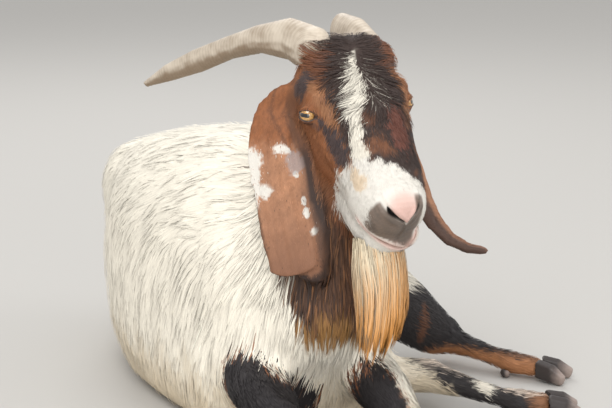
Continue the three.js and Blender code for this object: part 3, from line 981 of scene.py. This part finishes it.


def throat_colour(colours, spots, head_share, coat, fine, broad):
    """Lays the dark throat and its gold lower end over the coat's colours."""
    x, y, z = spots.T
    front = np.interp(z, THROAT_LEVELS, THROAT_FRONT)
    narrow = 3.0 * np.maximum(abs(x - 0.012) - 0.088 + 0.3 * np.clip(0.26 - z, 0, 0.1), 0)
    front = front - narrow + 0.2 * smooth(0.2, 0.6, head_share)
    throat = smooth(0.006, -0.006, y - front + 0.008 * fine) * smooth(0.142, 0.168, z + 0.012 * broad)
    colours = paint(colours, throat, coat.bark)
    colours = paint(colours, throat * 0.75 * smooth(0.1, 0.8, broad + 0.5 * fine), coat.umber)
    return paint(colours, throat * smooth(0.20, 0.165, z + 0.02 * broad) * 0.8, np.array(coat.gold) * 0.6)


def foreleg_colour(colours, spots, left_share, coat, fine, broad):
    """Lays the black forelegs, with their chestnut edges, over the coat's colours."""
    x, y, z = spots.T
    slope = 0.136 - 0.77 * np.maximum(x + 0.10, 0) + 0.008 * fine + 0.006 * broad
    right = smooth(-0.198, -0.211, y + 0.005 * fine) * smooth(-0.006, 0.006, slope - z)
    right = right * smooth(0.01, -0.005, x)
    left = left_share * smooth(-0.246, -0.261, y + 0.006 * fine) * smooth(0.072, 0.062, x + 0.005 * fine)
    edge = np.maximum(right, left)
    colours = paint(colours, smooth(0.02, 0.4, edge) * (1 - smooth(0.5, 0.95, edge)), coat.chestnut)
    return paint(colours, smooth(0.3, 0.7, edge), coat.black)


def hindleg_colour(colours, spots, right_share, left_share, coat, fine):
    """Lays the black and tan hind legs over the coat's colours, the right one with a painted highlight along
    its top edge.
    """
    x, _, z = spots.T
    dark = smooth(0.152, 0.137, z + 0.010 * fine) * smooth(0.19, 0.205, x + 0.006 * fine)
    dark = dark * (1 - smooth(0.0, 0.3, right_share))
    colours = paint(colours, dark, coat.black)
    under = left_share * dark * smooth(0.040, 0.026, z) * smooth(0.27, 0.29, x)
    colours = paint(colours, under, np.array(coat.tan) * 1.4)
    inner = blob(spots, (0.262, -0.03, 0.075), (0.008, 0.03, 0.04))
    colours = paint(colours, 0.4 * dark * inner, coat.chestnut)
    dark = right_share * smooth(-0.007, 0.007, x - 0.207 + 1.1 * (z - 0.046) + 0.010 * fine)
    colours = paint(colours, dark, coat.black)
    colours = paint(colours, dark * smooth(0.30, 0.325, x + 0.004 * fine) * 0.75, coat.tan)
    # painted highlight: a pale pinkish cream band along the black shank's top edge
    crest_highlight = dark * smooth(-0.012, -0.004, z - np.interp(x, *SHANK_CREST) + 0.002 * fine)
    colours = paint(colours, crest_highlight * smooth(0.185, 0.2, x) * 0.8, np.array(coat.cream) * (1.0, 0.89, 0.86))
    patch = right_share * blob(spots, (0.265, -0.217, 0.045), (0.014, 0.02, 0.016), 0.3, fine)
    return paint(colours, patch, coat.cream)


def coat_colour(places, shares, coat):
    """The colour of the coat at each place, with painted shadow round the hanging ears."""
    spots = body_places(places)
    share = dict(zip(FLESH, shares.T))
    fine, broad = ripple(places, 0.012, 3), ripple(places, 0.05, 4)
    colours = np.tile(coat.cream, (len(places), 1)) * (1 + 0.04 * broad)[:, None]
    colours = paint(colours, 0.5 * smooth(0.13, 0.02, spots[:, 2] + 0.02 * broad), coat.straw)
    colours = throat_colour(colours, spots, share["head"], coat, fine, broad)
    colours = foreleg_colour(colours, spots, share["foreleg_left"], coat, fine, broad)
    colours = hindleg_colour(colours, spots, share["hindleg_right"], share["hindleg_left"], coat, fine)
    head = share["head"][:, None]
    colours = colours * (1 - head) + face_colour(places, coat, fine, broad) * head
    for node in EAR_RUNS:
        # painted shadow: umber on the neck and cheek just round the hanging part of each ear
        hanging = smooth(0.3, 0.42, ear_frame(places, node)[3])
        colours = paint(colours, 0.85 * hanging * smooth(0.02, 0.12, share[node]), coat.umber)
        colours = paint(colours, smooth(0.35, 0.6, share[node]), ear_colour(places, node, coat, fine, broad))
    return colours


# ---------------------------------------------------------------- how the coat and the beard grow
LOCK_TUFTS = 14  # tufts to a lock
REGIONS = {
    # nodes, tufts to a square metre, length, height and width in mm, steps, sway, gather, free, pieces
    "trunk": (["trunk"], 58000, 46, 1.3, 3.6, 3, 0.10, 0.0, 0.0, 7),
    "fringe": (["trunk"], 4000, 50, 6.5, 1.4, 3, 0.12, 0.3, 0.0, 1),
    "neck": (["neck"], 80000, 44, 5.0, 2.4, 3, 0.12, 0.3, 0.10, 2),
    "head": (["head"], 240000, 9.0, 1.4, 1.0, 2, 0.14, 0.2, 0.0, 2),
    "mop": (["head"], 100000, 24, 5.0, 0.8, 5, 0.45, 0.45, 0.0, 1),
    "ears": (["ear_right", "ear_left"], 140000, 5.0, 0.4, 0.8, 2, 0.12, 0.1, 0.0, 1),
    "legs": (list(LEG_RUNS), 100000, 15, 3.2, 1.4, 2, 0.16, 0.3, 0.0, 2),
    "tail": (["tail"], 90000, 34, 7.0, 2.0, 3, 0.2, 0.5, 0.1, 1),
}


def by_horns(places):
    """1 at the root of the right horn, where the hair stands up, and a little at the left one's."""
    _, dorsal, left = head_places(places).T
    roots = [head_point(HORN_BACK, HORN_UP, side) for side in (-HORN_ASIDE, HORN_ASIDE)]
    gap = np.minimum(*(np.linalg.norm(places - root, axis=1) for root in roots))
    return np.exp(-((gap / 0.048) ** 4)) * smooth(4, 18, dorsal) * np.where(left < 0, 1.0, 0.15)


def mop_mask(spot):
    """1 over the brow and the poll, where the hair is long and wavy."""
    forward, dorsal, left = spot.T
    return smooth(64, 20, forward) * smooth(60, 44, abs(left)) * smooth(-40, -15, dorsal)


def head_growth(places):
    """How long the hair of the head is, against the face's own: short on the muzzle, long on the poll."""
    spot = head_places(places)
    growth = 1.0 - 0.5 * smooth(90, 120, spot[:, 0]) + 1.7 * mop_mask(spot)
    return growth + smooth(-90, -115, spot[:, 1]) * (1.2 + 1.3 * smooth(80, 130, spot[:, 0]))


def region_weights(region, nodes, hide):
    """How thickly a region's tufts grow on each triangle of the skin."""
    under = smooth(0.012, 0.004, hide.centres[:, 2])
    weights = share_of(hide.face_shares, *nodes) * (1 - hide.bare) * (1 - 0.85 * under)
    weights = np.where(weights > 0.25, np.maximum(weights, 0.5), 0)
    if region == "mop":
        weights = weights * mop_mask(head_places(hide.centres))
    if region != "ears":
        weights = weights * (1 - smooth(0.04, 0.2, share_of(hide.face_shares, *EAR_RUNS)))
    return weights


def region_growth(region, places, rng):
    """How long each tuft is, against its region's own length."""
    grow = rng.uniform(0.7, 1.15, len(places)) * (1 + 0.15 * ripple(places, 0.06, 21))
    if region == "head":
        grow *= head_growth(places)
    if region == "mop":
        grow *= head_growth(places) * 0.4
        grow *= 1 + 0.3 * by_horns(places)
    if region == "neck":
        grow *= 1 - 0.72 * short_neck(places)
    if region == "legs":
        grow *= 1 + 1.6 * smooth(0.11, 0.19, places[:, 2])
    return grow


def tuft_colours(region, places, shares, settings, rng):
    """Each tuft's colour, from the markings a little beside it, with chestnut strands on the dark neck."""
    count = len(places)
    beside = places + rng.normal(0, 0.0022 if region in ("head", "mop") else 0.003, (count, 3))
    colours = coat_colour(beside, shares, settings)
    dark = smooth(0.2, 0.05, colours.mean(1)) * (region == "neck")
    strands = dark * 0.8 * (rng.random(count) < 0.25)
    colours = paint(colours, strands, np.array(settings.chestnut) * (0.8, 1.0, 1.2))
    colours = colours * (1 + rng.normal(0, 1, count) * (0.06 + 0.18 * dark))[:, None]
    return np.clip(colours, 0.004, 0.95)


BEARD_LOCKS, BEARD_STEPS = 3400, 8
BEARD_RUN = [  # mm from the goat's middle: place, half width across, half depth
    ((12, -379, 324), 32, 15),
    ((17, -378, 290), 37, 21),
    ((24, -369, 255), 39, 25),
    ((28, -362, 215), 38, 24),
    ((26, -360, 180), 34, 17),
    ((16, -358, 136), 24, 9),
]


def beard_paths(across, deep, spread, rng):
    """Wavy locks that hang down the beard's run, each from its own height to its own length."""
    count = len(across)
    reach = rng.uniform(0.4, 1.0, count) ** 0.6 * (1 - 0.2 * spread**3)
    start = rng.uniform(0.0, 0.3, count) ** 1.3
    phase = rng.normal(0, 0.9, count)
    rows = np.array([(*place, wide, depth) for place, wide, depth in BEARD_RUN], float)
    levels = np.linspace(0, 1, len(rows))
    paths = []
    for step in range(BEARD_STEPS + 1):
        t = start + (reach - start) * step / BEARD_STEPS
        x, y, z, wide, depth = (np.interp(t, levels, row) for row in rows.T)
        wave = np.sin(8 * t + across * 3 + phase) * 3.0 * (0.3 + t) + rng.normal(0, 0.3, count)
        paths.append(np.stack([x + across * wide + wave, y + deep * depth + wave * 0.6, z], 1))
    return np.stack(paths, 1) / 1000 + np.array(MIDDLE)


def beard_colours(paths, across, spread, settings, rng):
    """Each lock's colours at its root and its tip: cream on the right, golden on the left, with painted shade
    inside the beard and on some tips on the right.
    """
    count = len(paths)
    tone = np.clip(0.5 + 0.45 * across + 0.45 * ripple(paths[:, 3], 0.018, 8), 0, 1)
    cream, gold = np.array(settings.cream) * (0.98, 0.90, 0.76), np.array(settings.gold) * (1.0, 0.80, 0.45)
    # random tone, and painted shade: locks near the middle of the beard are darker
    vary_and_inner_shade = (rng.normal(1, 0.08, count) * (0.55 + 0.45 * smooth(0.2, 0.8, spread)))[:, None]
    colours = (cream + (gold - cream) * (0.6 * smooth(0.4, 0.95, tone))[:, None]) * vary_and_inner_shade
    tips = (cream * 0.8 + (gold - cream * 0.8) * smooth(-0.2, 0.1, tone)[:, None]) * vary_and_inner_shade
    # painted shade: umber on the tips of some locks on the right
    shaded = 0.8 * (rng.random(count) < 0.3) * smooth(0.1, -0.4, across)
    return np.clip(colours, 0.01, 0.95), paint(tips, shaded, settings.umber)


# ---------------------------------------------------------------- materials
IRIS_DARK, IRIS_PALE, IRIS_RIM = (0.36, 0.17, 0.045, 1), (0.62, 0.36, 0.12, 1), (0.10, 0.04, 0.015, 1)
EYE_DARK, PUPIL = (0.02, 0.012, 0.01, 1), (0.004, 0.004, 0.006, 1)
HORN_DARK, HORN_PALE, HORN_UNDER_SHADE = (0.34, 0.27, 0.20, 1), (0.60, 0.52, 0.42, 1), (0.22, 0.15, 0.09, 1)
HOOF_DARK, HOOF_TIP = (0.035, 0.026, 0.024, 1), (0.30, 0.235, 0.205, 1)
FLOOR_GREY = (0.50, 0.485, 0.46, 1)
RING_WAVES = 1100  # radians of growth ring to a metre of horn


class Value:
    """A number socket that can be used in sums."""

    def __init__(self, shader, socket):
        self.shader, self.socket = shader, socket

    def maths(self, operation, *others):
        return self.shader.node("Math", {"operation": operation}, dict(enumerate(others)))

    def __add__(self, other):
        return self.maths("ADD", self, other)

    def __sub__(self, other):
        return self.maths("SUBTRACT", self, other)

    def __rsub__(self, other):
        return self.maths("SUBTRACT", other, self)

    def __mul__(self, other):
        return self.maths("MULTIPLY", self, other)

    def __truediv__(self, other):
        return self.maths("DIVIDE", self, other)

    def __pow__(self, other):
        return self.maths("POWER", self, other)

    __radd__, __rmul__ = __add__, __mul__

    def step(self, low, high):
        settings = {"interpolation_type": "SMOOTHSTEP"}
        return self.shader.node("MapRange", settings, {"Value": self, "From Min": low, "From Max": high})


class Shader:
    """A material's node tree."""

    def __init__(self, name):
        self.material = bpy.data.materials.new(name)
        self.material.use_nodes = True
        self.tree = self.material.node_tree
        self.surface = self.tree.nodes["Principled BSDF"]

    def set(self, node, inputs):
        for key, value in inputs.items():
            if isinstance(value, Value):
                self.tree.links.new(value.socket, node.inputs[key])
            else:
                node.inputs[key].default_value = value

    def node(self, kind, settings=None, inputs=None, output=0):
        node = self.tree.nodes.new("ShaderNode" + kind)
        for key, value in (settings or {}).items():
            setattr(node, key, value)
        self.set(node, inputs or {})
        return Value(self, node.outputs[output])

    def attribute(self, name, output="Fac"):
        return self.node("Attribute", {"attribute_name": name}, output=output)

    def place(self):
        return self.node("TexCoord", output="Object")

    def unwrap(self):
        return self.node("UVMap", {"uv_map": "OFBake"})

    def noise(self, vector, scale, detail=3.0):
        return self.node("TexNoise", {}, {"Vector": vector, "Scale": scale, "Detail": detail}, output="Fac")

    def mix(self, share, first, second, blend="MIX"):
        node = self.tree.nodes.new("ShaderNodeMix")
        node.data_type, node.blend_type = "RGBA", blend
        self.set(node, {0: share, 6: first, 7: second})
        return Value(self, node.outputs[2])

    def bump(self, height, strength, distance):
        inputs = {"Height": height, "Strength": strength, "Distance": distance}
        return self.node("Bump", {}, inputs, output="Normal")

    def marked(self, light):
        """The marking's colour, made darker or lighter."""
        grey = self.node("CombineColor", {}, {0: light, 1: light, 2: light})
        return self.mix(1.0, self.attribute("coat", "Color"), grey, "MULTIPLY")

    def finish(self, **inputs):
        """The material, with its surface's inputs set."""
        self.set(self.surface, {key.replace("_", " "): value for key, value in inputs.items()})
        return self.material


def coat_material():
    """Hair: the marking's colour, shaded towards the root and varied from tuft to tuft."""
    shader = Shader("goat coat")
    along = shader.attribute("along")
    fleck = shader.noise(shader.place(), 420.0)
    broad = shader.noise(shader.place(), 34.0)
    stretched = shader.node("Mapping", {}, {0: shader.unwrap(), 3: (3400.0, 260.0, 1.0)})
    strands = shader.noise(stretched, 1.0, 2.0)
    # painted shade: each tuft is darker towards its root; flecks, broad patches and strands vary the tone at
    # random
    light = 0.92 + 0.10 * along.step(0.0, 0.5) + 0.06 * (fleck - 0.5)
    light = light + 0.10 * (broad - 0.5) + 0.16 * (strands - 0.5)
    bump = shader.bump(strands, 0.35, 0.0008)
    return shader.finish(Base_Color=shader.marked(light), Roughness=0.6, Normal=bump)


def skin_material():
    """Short coat and bare skin under the tufts."""
    shader = Shader("goat skin")
    grain = shader.noise(shader.place(), 900.0)
    pores = shader.noise(shader.place(), 2600.0)
    colour = shader.marked(0.90 + 0.2 * (grain - 0.5))
    bare = shader.attribute("bare")
    bump = shader.bump(grain * (1.0 - bare) + pores * bare * 0.6, 0.35, 0.0008)
    return shader.finish(Base_Color=colour, Roughness=0.72 - 0.27 * bare, Normal=bump)


def eye_material():
    """A golden iris with a dark rim and a wide pupil with square ends."""
    shader = Shader("goat eye")
    axes = shader.node("SeparateXYZ", {}, {0: shader.attribute("gaze", "Vector")})
    node = axes.socket.node
    ahead, up = Value(shader, node.outputs[0]), Value(shader, node.outputs[1])
    reach = (ahead * ahead + up * up) ** 0.5
    wide, high = (ahead + 0.16) / 0.5, up / 0.19
    bar = (wide * wide) ** 2.0 + (high * high) ** 2.0
    pupil = 1.0 - bar.step(0.8, 1.2)
    iris = 1.0 - reach.step(0.74, 0.80)
    fibres = shader.noise(shader.attribute("gaze", "Vector"), 9.0, 6.0)
    gold = shader.mix(fibres.step(0.35, 0.65), IRIS_DARK, IRIS_PALE)
    gold = shader.mix(reach.step(0.56, 0.78), gold, IRIS_RIM)
    colour = shader.mix(pupil, shader.mix(iris, EYE_DARK, gold), PUPIL)
    return shader.finish(Base_Color=colour, Roughness=0.08, Coat_Weight=1.0, Coat_Roughness=0.02)


def horn_material():
    """Pale ringed horn, with painted shade underneath."""
    shader = Shader("goat horn")
    along = shader.attribute("grown")
    wander = shader.noise(shader.place(), 40.0)
    rings = shader.node("Math", {"operation": "SINE"}, {0: along * float(RING_WAVES) + wander * 9.0})
    fine = shader.node("Math", {"operation": "SINE"}, {0: along * 3900.0 + wander * 15.0})
    tone = (shader.noise(shader.place(), 45.0) + 0.05 * rings + 0.04 * fine).step(0.15, 0.75)
    # painted shade mixed in where the horn faces downwards
    colour = shader.mix(shader.attribute("under"), shader.mix(tone, HORN_DARK, HORN_PALE), HORN_UNDER_SHADE)
    height = rings * 0.4 + fine * 0.25 + shader.noise(shader.place(), 700.0) * 0.4
    return shader.finish(Base_Color=colour, Roughness=0.5, Normal=shader.bump(height, 0.45, 0.0005))


def hoof_material():
    """Near-black hoof, paler towards the worn tip."""
    shader = Shader("goat hoof")
    grain = shader.noise(shader.place(), 120.0, 5.0)
    tip = (shader.attribute("tip") + 0.3 * (grain - 0.5)).step(0.5, 0.95)
    colour = shader.mix(tip, HOOF_DARK, HOOF_TIP)
    return shader.finish(Base_Color=colour, Roughness=0.5, Normal=shader.bump(grain, 0.25, 0.0004))


# ---------------------------------------------------------------- light and camera
LIGHTS = {  # place, size across and power in watts
    "key": ((-1.8, -2.4, 3.0), 1.8, 80),
    "fill": ((2.8, -1.6, 1.8), 2.2, 26),
    "rim": ((0.4, 2.6, 2.8), 2.0, 40),
    "front": ((-1.1, -3.0, 0.6), 1.8, 24),
}
LIT_PLACE = Vector((0, 0, 0.25))
FLOOR_SIZE = 9.0
CAMERA_PLACE = MIDDLE + Vector((-0.8928, -2.2825, 0.835))
CAMERA_AZIMUTH, CAMERA_ELEVATION = math.radians(-23), math.radians(12.6)
CAMERA_LENS = 101.2


def aimed(obj, place, back):
    """Puts a lamp or a camera in its place, with its back turned to a direction."""
    obj.location = place
    obj.rotation_mode = "QUATERNION"
    obj.rotation_quaternion = back.to_track_quat("Z", "Y")
    return obj


# ---------------------------------------------------------------- operators
def settle(obj, material):
    """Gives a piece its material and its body."""
    obj.data.materials.clear()
    obj.data.materials.append(material)
    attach(obj, "root")
    return obj


WORK = {}  # the hide, which the skin's operator leaves for the coat's


class OBJECT_OT_goat_skin(bpy.types.Operator):
    """Make the skin under the coat"""

    bl_idname = "object.goat_skin"
    bl_label = "Skin"

    def execute(self, context):
        scene = context.scene
        obj = make_skin(scene.goat_skin)
        places = places_of(obj.data)
        shares = node_shares(places)
        bpy.ops.object.select_all(action="DESELECT")
        obj.select_set(True)
        context.view_layer.objects.active = obj
        obj.data.uv_layers.new(name="OFBake")
        bpy.ops.object.mode_set(mode="EDIT")
        bpy.ops.mesh.select_all(action="SELECT")
        bpy.ops.uv.smart_project(angle_limit=math.radians(66), island_margin=0.003)
        bpy.ops.object.mode_set(mode="OBJECT")
        colours = coat_colour(places, shares, scene.goat_coat)
        set_attribute(obj.data, "coat", opaque(colours), "FLOAT_COLOR")
        set_attribute(obj.data, "bare", bareness(places), "FLOAT")
        settle(obj, skin_material())
        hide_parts(*FLESH)
        WORK["hide"] = Hide(obj, shares)
        return {"FINISHED"}


class OBJECT_OT_goat_coat(bpy.types.Operator):
    """Grow the coat over the skin"""

    bl_idname = "object.goat_coat"
    bl_label = "Coat"

    def execute(self, context):
        material = coat_material()
        for order, region in enumerate(REGIONS):
            self.grow_region(region, np.random.default_rng(context.scene.goat_coat.seed + order), material)
        return {"FINISHED"}

    def grow_region(self, region, rng, material):
        """Grows one region's tufts and cuts them into its pieces, from front to back."""
        settings, hide = bpy.context.scene.goat_coat, WORK["hide"]
        nodes, density, length, height, width, steps, sway, gather, free, pieces = REGIONS[region]
        scale = settings.cover * 1.0
        roots = hide.roots(region_weights(region, nodes, hide), density * scale, rng)
        grow = region_growth(region, roots["place"], rng)
        heights = height * np.clip(grow, 0.3, 1.1) * (1 + 2.8 * by_horns(roots["place"])) / 1000
        paths, normals, ears = tuft_paths(hide, roots, length * grow / 1000, heights, steps, rng, sway, free)
        paths = gathered(paths, gather, LOCK_TUFTS, rng)
        colours = tuft_colours(region, paths[:, (steps + 1) // 2], roots["shares"], settings, rng)
        widths = width / 1000 * rng.uniform(0.75, 1.2, len(grow)) * np.clip(grow, 0.5, 1.2)
        kept = np.argsort(roots["place"][:, 1], kind="stable")
        if region != "ears":
            kept = kept[ears[kept] < 0.3]
        for index, chunk in enumerate(np.array_split(kept, pieces)):
            name = f"coat_{region}_{index + 1}" if pieces > 1 else f"coat_{region}"
            rows = (values[chunk] for values in (paths, normals, widths, colours, roots["uv"]))
            settle(tuft_mesh(name, *rows), material)


class OBJECT_OT_goat_eyes(bpy.types.Operator):
    """Make both eyes"""

    bl_idname = "object.goat_eyes"
    bl_label = "Eyes"

    def execute(self, context):
        material = eye_material()
        for side, eye in EYES.items():
            ball = bmesh.new()
            bmesh.ops.create_icosphere(ball, subdivisions=5, radius=1.0)
            mesh = bpy.data.meshes.new("eye_ball_" + side)
            ball.to_mesh(mesh)
            ball.free()
            direction = unit(places_of(mesh))
            out, ahead, up = eye_axes(side)
            swell = 1 + 0.05 * smooth(0.72, 0.95, direction @ out)
            shade_smooth(mesh)
            set_places(mesh, np.array(eye) + direction * (EYE_RADIUS * swell)[:, None])
            set_attribute(mesh, "gaze", np.stack([direction @ ahead, direction @ up, direction @ out], 1))
            obj = linked("eye_ball_" + side, mesh)
            settle(obj, material)
            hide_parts("eye_" + side)
        return {"FINISHED"}


class OBJECT_OT_goat_horns(bpy.types.Operator):
    """Make both horns with their growth rings"""

    bl_idname = "object.goat_horns"
    bl_label = "Horns"

    def execute(self, context):
        material = horn_material()
        for side, sign in (("right", -1), ("left", 1)):
            node = "horn_" + side
            obj = hard_copy("horn_sheath_" + side, node, grain=0.0022, passes=14)
            places, normals = places_of(obj.data), normals_of(obj.data)
            grown = np.linalg.norm(places - head_point(HORN_BACK, HORN_UP, sign * HORN_ASIDE), axis=1)
            rings = np.sin(grown * RING_WAVES + 2 * ripple(places, 0.05, 5)) * (1 - smooth(0.16, 0.30, grown))
            # painted shade on the parts of the horn that face downwards
            under = smooth(-0.05, -0.5, normals[:, 2] + 0.1 * ripple(places, 0.02, 6))
            set_places(obj.data, places + normals * (0.0002 * rings)[:, None])
            set_attribute(obj.data, "grown", grown, "FLOAT")
            set_attribute(obj.data, "under", under * 0.9, "FLOAT")
            settle(obj, material)
            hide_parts(node)
        return {"FINISHED"}


class OBJECT_OT_goat_hooves(bpy.types.Operator):
    """Make the hooves and dewclaws"""

    bl_idname = "object.goat_hooves"
    bl_label = "Hooves"

    def execute(self, context):
        material = hoof_material()
        for node in HOOF_NODES:
            obj = hard_copy(node + "_horn", node, grain=0.0016, passes=24)
            places = places_of(obj.data)
            leg = next(name for name in LEG_RUNS if name in node)
            toe = unit(np.diff(np.array(LEG_RUNS[leg][-2:], float), axis=0)[0])
            reach = (places @ toe) - (places @ toe).min()
            set_attribute(obj.data, "tip", reach / max(reach.max(), 0.01), "FLOAT")
            settle(obj, material)
            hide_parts(node)
        return {"FINISHED"}


class OBJECT_OT_goat_beard(bpy.types.Operator):
    """Hang the beard from the chin"""

    bl_idname = "object.goat_beard"
    bl_label = "Beard"

    def execute(self, context):
        settings = context.scene.goat_coat
        rng = np.random.default_rng(settings.seed + 50)
        count = BEARD_LOCKS
        angle, spread = rng.uniform(0, 2 * math.pi, count), rng.uniform(0, 1, count) ** 0.5
        across, deep = np.cos(angle) * spread, np.sin(angle) * spread
        paths = gathered(beard_paths(across, deep, spread, rng), 0.75, 30, rng)
        normals = unit(np.stack([across, deep, np.zeros(count)], 1))
        normals = np.repeat(normals[:, None], BEARD_STEPS + 1, 1)
        colours, tips = beard_colours(paths, across, spread, settings, rng)
        uv = np.full((count, 2), 0.5) + rng.uniform(-0.4, 0.4, (count, 2))
        widths = rng.uniform(0.0009, 0.0019, count)
        obj = tuft_mesh("beard_locks", paths, normals, widths, colours, uv, tips)
        settle(obj, bpy.data.materials["goat coat"])
        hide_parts("beard")
        return {"FINISHED"}


class OBJECT_OT_goat_stage(bpy.types.Operator):
    """Set the floor, the lights and the camera"""

    bl_idname = "object.goat_stage"
    bl_label = "Stage"

    def execute(self, context):
        scene = context.scene
        grid = bmesh.new()
        bmesh.ops.create_grid(grid, x_segments=1, y_segments=1, size=FLOOR_SIZE)
        mesh = bpy.data.meshes.new("floor")
        grid.to_mesh(mesh)
        grid.free()
        mesh.materials.append(Shader("pale floor").finish(Base_Color=FLOOR_GREY, Roughness=0.9))
        obj = linked("floor", mesh)
        world = bpy.data.worlds.new("studio")
        world.use_nodes = True
        sky = world.node_tree.nodes["Background"].inputs
        sky["Color"].default_value, sky["Strength"].default_value = (0.97, 0.97, 0.97, 1), 0.85
        scene.world = world
        for name, (place, size, power) in LIGHTS.items():
            light = bpy.data.lights.new(name, "AREA")
            light.size, light.energy = size, power
            aimed(linked(name, light), place, Vector(place) - LIT_PLACE)
        level = math.cos(CAMERA_ELEVATION)
        back = Vector((math.sin(CAMERA_AZIMUTH) * level, -math.cos(CAMERA_AZIMUTH) * level, 0.0))
        back.z = math.sin(CAMERA_ELEVATION)
        camera = aimed(linked("camera", bpy.data.cameras.new("camera")), CAMERA_PLACE, back)
        camera.data.lens = CAMERA_LENS
        scene.camera = camera
        scene.view_settings.view_transform = "Standard"
        return {"FINISHED"}


STEPS = [
    OBJECT_OT_goat_skin,
    OBJECT_OT_goat_coat,
    OBJECT_OT_goat_beard,
    OBJECT_OT_goat_eyes,
    OBJECT_OT_goat_horns,
    OBJECT_OT_goat_hooves,
    OBJECT_OT_goat_stage,
]


class VIEW3D_PT_goat(bpy.types.Panel):
    """The goat's pieces and their settings"""

    bl_label = "Goat"
    bl_idname = "VIEW3D_PT_goat"
    bl_space_type = "VIEW_3D"
    bl_region_type = "UI"
    bl_category = "Goat"

    def draw(self, context):
        for group in (context.scene.goat_skin, context.scene.goat_coat):
            for name in group.__annotations__:
                self.layout.prop(group, name)
        for step in STEPS:
            self.layout.operator(step.bl_idname)


CLASSES = [GoatSkin, GoatCoat, *STEPS, VIEW3D_PT_goat]


def register():
    for cls in CLASSES:
        bpy.utils.register_class(cls)
    bpy.types.Scene.goat_skin = PointerProperty(type=GoatSkin)
    bpy.types.Scene.goat_coat = PointerProperty(type=GoatCoat)


def unregister():
    del bpy.types.Scene.goat_coat
    del bpy.types.Scene.goat_skin
    for cls in reversed(CLASSES):
        bpy.utils.unregister_class(cls)


def main():
    """Makes every piece."""
    register()
    for step in STEPS:
        category, name = step.bl_idname.split(".")
        getattr(getattr(bpy.ops, category), name)()


if __name__ == "__main__":
    main()
